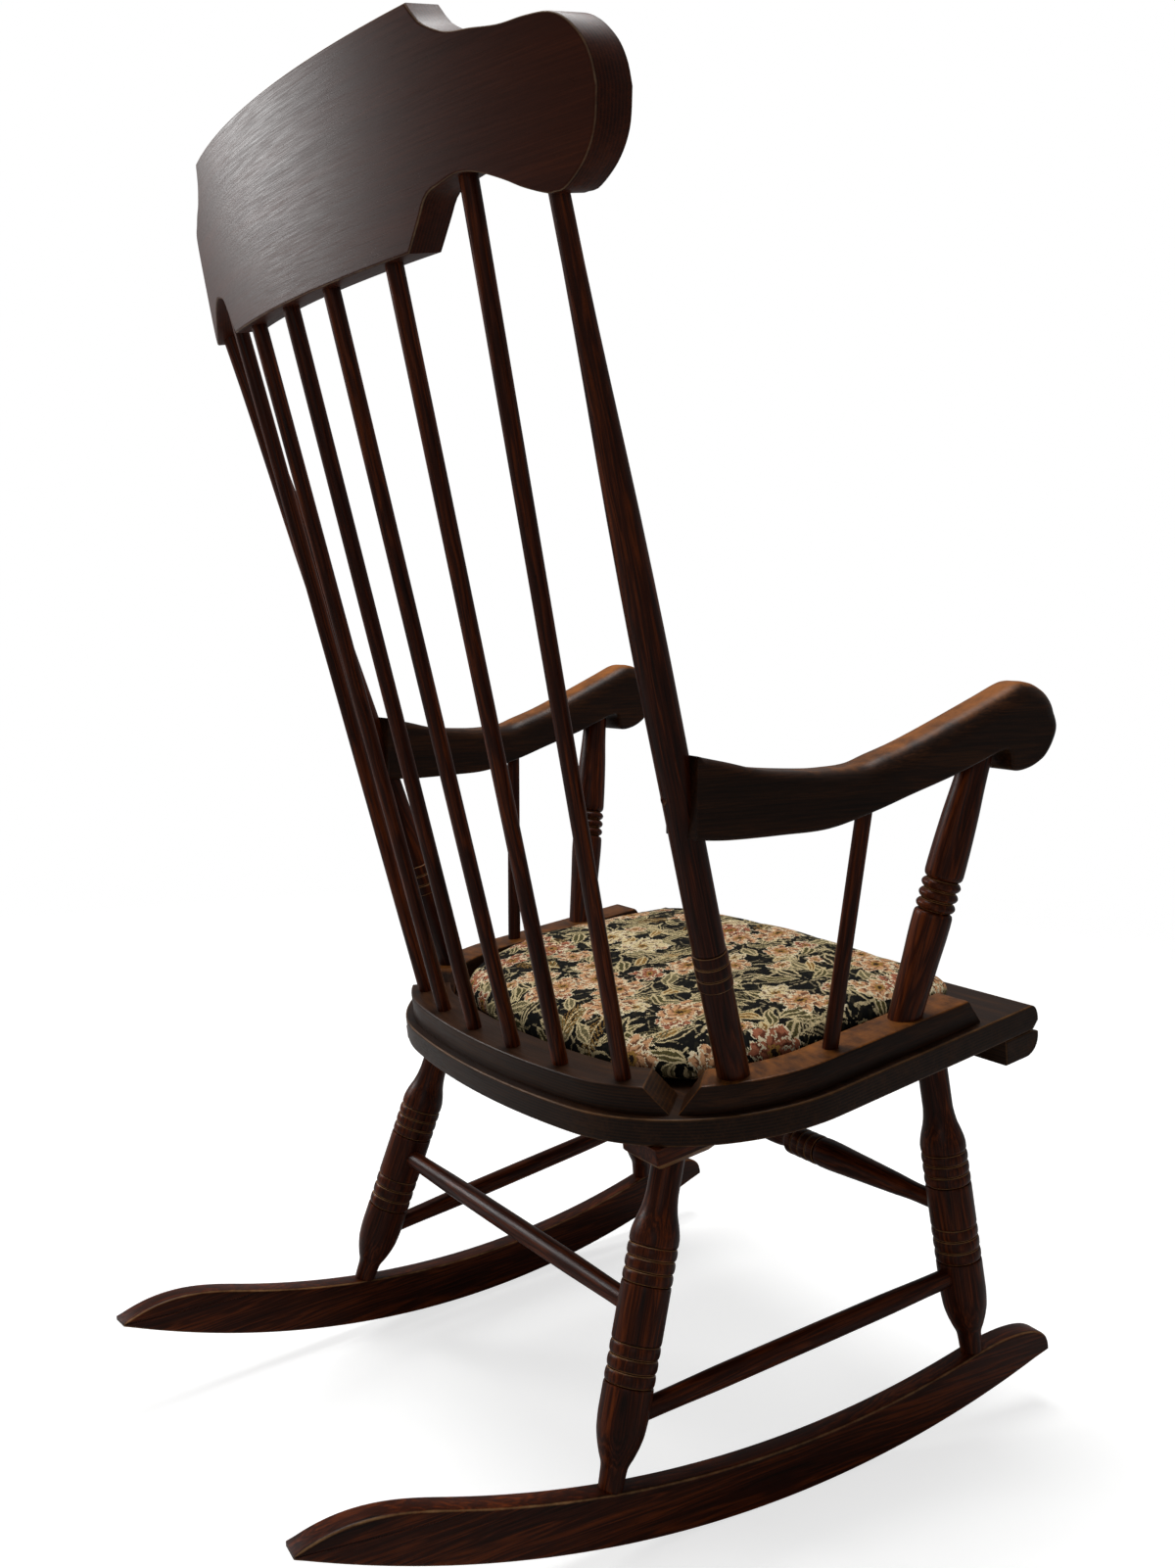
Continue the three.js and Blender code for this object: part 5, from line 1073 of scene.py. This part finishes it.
def make_cushion():
    """Foam in a tapestry cover. Rings of the outline rise and draw in like a crowned pad; cloth blown up from that
    shape gives it the fullness of stuffing, and it is then held inside the space of its solid."""
    middle = np.array([0.0, (CUSHION_FRONT + SEAT_DEPTH) / 2])

    def risen(plan, up):
        """The outline at a share of the crown, which is a little fuller in the middle and flatter at the corners."""
        corner = np.abs(plan[:, 0] / 190.0) * np.abs((plan[:, 1] - middle[1]) / 165.0)
        fullness = 1.07 - 0.42 * np.clip(corner, 0, 1) ** 1.5
        return np.column_stack([plan, 1.0 + (CUSHION_CROWN - CUSHION_SWELL) * up * fullness])

    rings = [risen(cushion_plan(CUSHION_SLACK + inward * CUSHION_ROUND), up) for inward, up in CUSHION_WALL]
    rim = cushion_plan(CUSHION_SLACK + CUSHION_ROUND) - middle
    rings += [risen(middle + rim * kept, up) for kept, up in ((0.8, 0.95), (0.55, 0.99), (0.25, 1.0))]
    cover = piece("tapestry_cushion", rings, SEAT, "tapestry", ["cushion_cover", "cushion_foam"], body="cushion")
    puff(cover, 0.0055, bpy.context.scene.chair_cushion.pressure, 0.004)
    hold_cushion(cover)
    subdivide = cover.modifiers.new("fine", "SUBSURF")
    subdivide.levels = subdivide.render_levels = 1
    apply_modifiers(cover)
    # The weave runs over the top and turns down the walls
    local, outward, depth = cushion_places(cover)
    drop = np.clip(WALL_TOP - local[:, 2], 0, 40) * np.clip(1 - depth / WALL_DEPTH, 0, 1)
    weave = np.column_stack([local[:, :2] + outward * drop[:, None], np.zeros(len(local))])
    keep(cover.data, "weave", "FLOAT_VECTOR", "vector", weave)
    cover.data.shade_smooth()


def puff(thing, voxel, pressure, most):
    """Remeshes a closed piece evenly and blows it up as cloth for twenty frames; no point goes further than most."""
    remesh = thing.modifiers.new("even", "REMESH")
    remesh.mode = "VOXEL"
    remesh.voxel_size = voxel
    apply_modifiers(thing)
    before = points_of(thing)
    cloth = thing.modifiers.new("cloth", "CLOTH")
    cloth.settings.use_pressure = True
    cloth.settings.uniform_pressure_force = pressure
    cloth.settings.quality = 5
    cloth.settings.mass = 0.35
    cloth.settings.tension_stiffness = 18
    cloth.settings.compression_stiffness = 18
    cloth.settings.bending_stiffness = 0.6
    cloth.settings.effector_weights.gravity = 0
    cloth.collision_settings.use_collision = False
    scene = bpy.context.scene
    for step in range(1, 21):
        scene.frame_set(step)
    apply_modifiers(thing)
    scene.frame_set(1)
    shift = points_of(thing) - before
    length = np.linalg.norm(shift, axis=1, keepdims=True)
    place_points(thing, before + shift * np.minimum(1, most / np.maximum(length, 1e-9)))


def points_of(thing):
    points = np.zeros(len(thing.data.vertices) * 3)
    thing.data.vertices.foreach_get("co", points)
    return points.reshape(-1, 3)


def place_points(thing, points):
    thing.data.vertices.foreach_set("co", points.ravel())
    thing.data.update()


def apply_modifiers(thing):
    """Swaps the mesh for its evaluated copy and drops the modifiers."""
    graph = bpy.context.evaluated_depsgraph_get()
    mesh = bpy.data.meshes.new_from_object(thing.evaluated_get(graph), preserve_all_data_layers=True, depsgraph=graph)
    thing.modifiers.clear()
    thing.data = mesh


def cushion_places(thing):
    """Each point in the seat's frame, the way out of the nearest edge of the outline, and how far inside it lies."""
    local = carried(np.linalg.inv(SEAT), points_of(thing) / MM)
    plan = cushion_plan(0.0, 14)
    edge = np.roll(plan, -1, 0) - plan
    normal = np.stack([edge[:, 1], -edge[:, 0]], 1) / np.linalg.norm(edge, axis=1, keepdims=True)
    centre = (plan + np.roll(plan, -1, 0)) / 2
    nearest = np.empty(len(local), int)
    for first in range(0, len(local), 4000):
        gap = local[first : first + 4000, None, :2] - centre[None]
        nearest[first : first + 4000] = np.argmin(np.sum(gap**2, -1), 1)
    outward = normal[nearest]
    return local, outward, -np.sum((local[:, :2] - centre[nearest]) * outward, 1)


def hold_cushion(thing):
    """Keeps every point over the seat, under the crown and inside the outline, and tucks a shallow channel in behind
    the zip."""
    local, outward, depth = cushion_places(thing)
    local[:, :2] -= outward * np.maximum(0, REST_GAP - depth)[:, None]
    local[:, 2] = np.clip(local[:, 2], REST_GAP + 0.1, CUSHION_CROWN)
    angle = np.arctan2(local[:, 0], local[:, 1] - BACK_CENTRE)
    radius = np.hypot(local[:, 0], local[:, 1] - BACK_CENTRE)
    behind = (np.abs(angle) < (ZIP_LENGTH / 2 + 3) / ZIP_RADIUS) & (local[:, 2] < ZIP_LIFT + ZIP_HEIGHT + 2.5)
    tuck = np.where(behind, np.maximum(0, radius - (ZIP_RADIUS - ZIP_CHANNEL)), 0)
    local[:, 0] -= tuck * np.sin(angle)
    local[:, 1] -= tuck * np.cos(angle)
    place_points(thing, carried(SEAT, local) * MM)


def by_zip(along, offset, up):
    """Points near the cushion's rear wall: millimetres along the zip from its middle, behind its arc and up."""
    along, radius, up = np.broadcast_arrays(along, ZIP_RADIUS + np.asarray(offset, float), up)
    angle = along / ZIP_RADIUS
    return np.stack([-radius * np.sin(angle), BACK_CENTRE + radius * np.cos(angle), up], -1)


def make_zip():
    """A tape bent along the arc, and two rows of teeth that take turns on it: each tooth is a small block with a
    narrower outer face."""
    top = ZIP_LIFT + ZIP_HEIGHT
    along = np.linspace(-ZIP_LENGTH / 2, ZIP_LENGTH / 2, 60)[:, None]
    rings = by_zip(along, [-1.4, -0.1, 0.1, -0.1, -1.4], [ZIP_LIFT, ZIP_LIFT + 0.2, ZIP_MIDDLE, top - 0.2, top])
    piece("zip_tape_band", rings, SEAT, "zip_tape", ["zip_chain"], order=(0, 2, 1), body="cushion")
    count = int(ZIP_LENGTH / ZIP_PITCH)
    places = (np.arange(count) - (count - 1) / 2)[:, None] * ZIP_PITCH
    side = np.where(np.arange(count) % 2, TOOTH_STAGGER, -TOOTH_STAGGER)[:, None]
    x, y, z = np.array([(x, y, z) for y in (0, 1) for x, z in ((-1, -1), (1, -1), (1, 1), (-1, 1))], float).T
    size = np.where(y > 0, 0.75, 1.0)
    height = ZIP_MIDDLE + side + z * size * TOOTH_HALF_HEIGHT
    points = by_zip(places + x * size * TOOTH_HALF_LENGTH, y * TOOTH_STAND + 0.02, height)
    block = np.array([(0, 1, 2, 3), (7, 6, 5, 4), (0, 4, 5, 1), (1, 5, 6, 2), (2, 6, 7, 3), (3, 7, 4, 0)])
    faces = (block[None] + 8 * np.arange(count)[:, None, None]).reshape(-1, 4)
    mesh = bpy.data.meshes.new("zip_teeth")
    mesh.from_pydata((carried(SEAT, points.reshape(-1, 3)) * MM).tolist(), [], faces.tolist())
    settle("zip_teeth", mesh, "cushion", "zip_metal", [], 30)


def make_zip_slider():
    """The slider's body, a rounded plate with a raised bridge, and its pull, a plate that widens to a rounded end."""
    turn = np.linspace(0, 2 * math.pi, 33)[:-1]
    cos, sin = np.cos(turn), np.sin(turn)
    across, up = (np.sign(v) * np.abs(v) ** 0.45 for v in (cos, sin))
    body, pull = [], []
    for size, offset in SLIDER_ROWS:
        height = size * (SLIDER_HALF_HEIGHT if size > 0.68 else BRIDGE_HALF_HEIGHT)
        along = ZIP_LENGTH / 2 - SLIDER_PLACE + across * SLIDER_HALF_LENGTH * size
        body.append(by_zip(along, offset, ZIP_MIDDLE + up * height))
    for size, offset in PULL_ROWS:
        along = ZIP_LENGTH / 2 - PULL_PLACE - cos * PULL_HALF_LENGTH * size
        pull.append(by_zip(along, offset, ZIP_MIDDLE + (1.0 + 0.5 * cos) * sin * size))
    piece("zip_slider_body", body, SEAT, "zip_metal", ["zip_slider"], body="slider")
    piece("zip_pull", pull, SEAT, "zip_metal", [], body="slider")


def make_screw(node):
    """A countersunk screw head with a cross recess: rings of a disc that sinks where it lies within a bar's half width
    of either axis, then rows of a shallow cone and a shank."""
    up = SEAT[:3, 2]
    points = points_of(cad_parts[node]) / MM
    along = points @ up
    length = along.max() - along.min()
    tip = points[along > along.max() - 0.5].mean(0)
    turn = 2 * math.pi * np.arange(SCREW_SIDES) / SCREW_SIDES
    circle = np.column_stack([np.cos(turn), np.sin(turn)])
    rings = []
    for radius in RECESS_RADII:
        bar = np.abs(radius * circle).min(1)
        sink = RECESS_DEPTH * np.clip((RECESS_BAR - bar) / 0.25, 0, 1) * np.clip((RECESS_REACH - radius) / 0.5, 0, 1)
        rings.append(np.column_stack([radius * circle, 0.1 + sink]))
    for radius, z in (*SCREW_CONE, (2.0, length - 3), (1.0, length)):
        rings.append(np.column_stack([radius * circle, np.full(SCREW_SIDES, z)]))
    matrix = SEAT.copy()
    matrix[:3, 3] = tip + up * (along.min() - tip @ up)
    piece("steel_" + node, rings, matrix, "screw_steel", [node], sharp=28)


# Stage


def make_stage():
    """A pale floor, soft lamps and the camera at the photograph's place."""
    stage, scene = bpy.context.scene.chair_stage, bpy.context.scene
    scene.view_settings.view_transform = "Standard"
    mesh = bpy.data.meshes.new("studio_floor")
    mesh.from_pydata([(-9, -9, 0), (9, -9, 0), (9, 9, 0), (-9, 9, 0)], [], [(0, 1, 2, 3)])
    mesh.materials.append(studio_paper(stage.lift))
    linked("studio_floor", mesh)
    scene.world = studio_world(stage)
    for name, place, target, size, power in (
        ("window_lamp", (2.6, 1.5, 1.75), (0, 0.1, 0.7), 1.2, stage.window),
        ("top_lamp", (0.3, -0.2, 3.1), (0, 0, 0.4), 1.6, stage.top),
        ("side_lamp", (-2.4, 2.2, 1.5), (0, 0, 0.4), 1.4, stage.side),
    ):
        lamp = bpy.data.lights.new(name, "AREA")
        lamp.shape = "DISK"
        lamp.size = size
        lamp.energy = power
        linked(name, lamp).matrix_world = looking(place, target)
    camera = bpy.data.cameras.new("photo_camera")
    camera.sensor_fit = "AUTO"
    camera.sensor_width = 36.0
    camera.lens = stage.lens
    camera.clip_end = 50.0
    scene.camera = linked("photo_camera", camera)
    scene.camera.matrix_world = Matrix(CAMERA_PLACE)


def studio_paper(lift):
    """Matt paper, nearly white, which gives the camera a little light of its own and fades out far away."""
    material, tree = blank("matt_studio_paper")
    place = put(tree, "TexCoord").outputs["Object"]
    pale = ramp(tree, noise(tree, place, 3.0), [(0.3, "b4b4b3"), (0.7, "b8b8b7")])
    glow = put(tree, "Math", (put(tree, "LightPath").outputs["Is Camera Ray"], lift), operation="MULTIPLY")
    light = {"Emission Color": (1, 1, 1, 1), "Emission Strength": glow}
    paper = put(tree, "BsdfPrincipled", {"Base Color": pale.outputs[0], "Roughness": 0.9, **light})
    reach = put(tree, "VectorMath", (place,), operation="LENGTH").outputs["Value"]
    fade = shade(tree, "SMOOTHSTEP", FADE_START, FADE_END, reach)
    put(tree, "OutputMaterial", (put(tree, "MixShader", (fade, paper, put(tree, "BsdfTransparent"))),))
    return material


def studio_world(stage):
    """Dim light from all round, which the camera sees as white and gloss as a share of white."""
    world = bpy.data.worlds.new("studio")
    world.use_nodes = True
    tree = world.node_tree
    tree.nodes.clear()
    times, most = reckoners(tree, "MULTIPLY", "MAXIMUM")
    path = put(tree, "LightPath").outputs
    seen = most(path["Is Camera Ray"], times(path["Is Glossy Ray"], stage.mirrored))
    seen = most(seen, path["Is Transmission Ray"])
    fill, white = (put(tree, "Background", {"Color": (1, 1, 1, 1), "Strength": power}) for power in (stage.fill, 1.0))
    put(tree, "OutputWorld", (put(tree, "MixShader", (seen, fill, white)),))
    return world


def looking(place, target):
    """A matrix at a place whose own Z points away from the target."""
    z = np.array(place, float) - np.array(target, float)
    z /= np.linalg.norm(z)
    x = np.cross((0, 0, 1), z)
    x /= np.linalg.norm(x)
    y = np.cross(z, x)
    return Matrix([[x[k], y[k], z[k], place[k]] for k in range(3)] + [[0, 0, 0, 1]])


# Settings


class WoodSettings(bpy.types.PropertyGroup):
    wear_and_highlight: FloatProperty(
        name="Wear", description="Share of the stain rubbed off worn edges", default=0.7, min=0, max=1, subtype="FACTOR"
    )


class TurningSettings(bpy.types.PropertyGroup):
    sides: IntProperty(name="Sides", description="Faces round a turned piece", default=48, min=12, max=96)
    groove: FloatProperty(
        name="Leg groove", description="Depth of the grooves between leg rings, in millimetres",
        default=2.6, min=0.5, max=4,
    )


class CushionSettings(bpy.types.PropertyGroup):
    pressure: FloatProperty(name="Fullness", description="Pressure that blows the cover up", default=4.0, min=0, max=10)
    thread: FloatProperty(
        name="Thread pitch", description="Width of one float of the weft, in millimetres", default=1.1, min=0.3, max=3
    )


class StageSettings(bpy.types.PropertyGroup):
    lens: FloatProperty(
        name="Lens", description="Focal length over a 36 mm tall frame, in millimetres", default=32.966, min=10, max=200
    )
    fill: FloatProperty(name="Fill", description="Strength of the light from all round", default=0.15, min=0, max=3)
    mirrored: FloatProperty(
        name="Mirrored white", description="Share of the white backdrop that gloss shows", default=0.12, min=0, max=1
    )
    lift: FloatProperty(
        name="Paper lift", description="Light of its own with which the floor meets the camera",
        default=0.7, min=0, max=1,
    )
    window: FloatProperty(
        name="Window lamp", description="Power of the lamp on the far side", default=48, min=0, subtype="POWER"
    )
    top: FloatProperty(name="Top lamp", description="Power of the lamp overhead", default=75, min=0, subtype="POWER")
    side: FloatProperty(
        name="Side lamp", description="Power of the lamp beside the camera", default=5, min=0, subtype="POWER"
    )


# Operators


class CHAIR_OT_stage(bpy.types.Operator):
    """Adds the floor, the lamps, the world and the camera"""

    bl_idname = "chair.stage"
    bl_label = "Stage"

    def execute(self, context):
        make_stage()
        return {"FINISHED"}


class CHAIR_OT_finishes(bpy.types.Operator):
    """Makes the finishes and gives each carried-over part its own"""

    bl_idname = "chair.finishes"
    bl_label = "Finishes"

    def execute(self, context):
        finish.update(make_finishes())
        for node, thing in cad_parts.items():
            for place in thing.material_slots:
                place.material = finish["foam" if node == "cushion_foam" else "screw_steel"]
        return {"FINISHED"}


class CHAIR_OT_seat(bpy.types.Operator):
    """Builds the seat board, its rolled front, the rails and the leg blocks"""

    bl_idname = "chair.seat"
    bl_label = "Seat"

    def execute(self, context):
        make_seat_board()
        make_front_roll()
        make_back_rail()
        for sign in SIDES:
            make_side_rail(sign)
            make_leg_block(sign)
        return {"FINISHED"}


class CHAIR_OT_back(bpy.types.Operator):
    """Builds the crest board, the back posts and the spindles"""

    bl_idname = "chair.back"
    bl_label = "Back"

    def execute(self, context):
        make_crest()
        make_back_spindles()
        for sign in SIDES:
            make_back_post(sign)
        return {"FINISHED"}


class CHAIR_OT_arms(bpy.types.Operator):
    """Builds the arms, their posts and spindles, and the plugs"""

    bl_idname = "chair.arms"
    bl_label = "Arms"

    def execute(self, context):
        for sign in SIDES:
            make_arm(sign)
            make_arm_post(sign)
            make_arm_spindle(sign)
            make_arm_plug(sign)
        return {"FINISHED"}


class CHAIR_OT_legs(bpy.types.Operator):
    """Builds the legs, the stretchers and the rockers"""

    bl_idname = "chair.legs"
    bl_label = "Legs and rockers"

    def execute(self, context):
        for sign in SIDES:
            for row in ("rear", "front"):
                make_leg(row, sign)
            make_rocker(sign)
        make_stretchers()
        return {"FINISHED"}


class CHAIR_OT_cushion(bpy.types.Operator):
    """Builds the cushion, its zip and the zip's slider"""

    bl_idname = "chair.cushion"
    bl_label = "Cushion"

    def execute(self, context):
        make_cushion()
        make_zip()
        make_zip_slider()
        return {"FINISHED"}


class CHAIR_OT_screws(bpy.types.Operator):
    """Builds the screws that show under the seat"""

    bl_idname = "chair.screws"
    bl_label = "Screws"

    def execute(self, context):
        for node in sorted(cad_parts):
            if "_screw_" in node and not node.startswith("arm_screw"):
                make_screw(node)
        return {"FINISHED"}


OPERATORS = (
    CHAIR_OT_stage, CHAIR_OT_finishes, CHAIR_OT_seat, CHAIR_OT_back, CHAIR_OT_arms, CHAIR_OT_legs, CHAIR_OT_cushion,
    CHAIR_OT_screws,
)


class CHAIR_PT_panel(bpy.types.Panel):
    """Lists the settings and the steps that dress the chair"""

    bl_idname = "CHAIR_PT_panel"
    bl_label = "Rocking chair"
    bl_space_type = "VIEW_3D"
    bl_region_type = "UI"
    bl_category = "Rocking chair"

    def draw(self, context):
        for key, kind in SETTINGS.items():
            box = self.layout.box()
            for name in kind.__annotations__:
                box.prop(getattr(context.scene, key), name)
        for operator in OPERATORS:
            self.layout.operator(operator.bl_idname)


SETTINGS = {
    "chair_wood": WoodSettings,
    "chair_turning": TurningSettings,
    "chair_cushion": CushionSettings,
    "chair_stage": StageSettings,
}


def register():
    for kind in (*SETTINGS.values(), *OPERATORS, CHAIR_PT_panel):
        bpy.utils.register_class(kind)
    for name, kind in SETTINGS.items():
        setattr(bpy.types.Scene, name, PointerProperty(type=kind))


def unregister():
    for name in SETTINGS:
        delattr(bpy.types.Scene, name)
    for kind in (CHAIR_PT_panel, *OPERATORS[::-1], *list(SETTINGS.values())[::-1]):
        bpy.utils.unregister_class(kind)


def main():
    register()
    bpy.ops.chair.stage()
    bpy.ops.chair.finishes()
    bpy.ops.chair.seat()
    bpy.ops.chair.back()
    bpy.ops.chair.arms()
    bpy.ops.chair.legs()
    bpy.ops.chair.cushion()
    bpy.ops.chair.screws()
    bpy.context.view_layer.update()


if __name__ == "__main__":
    main()
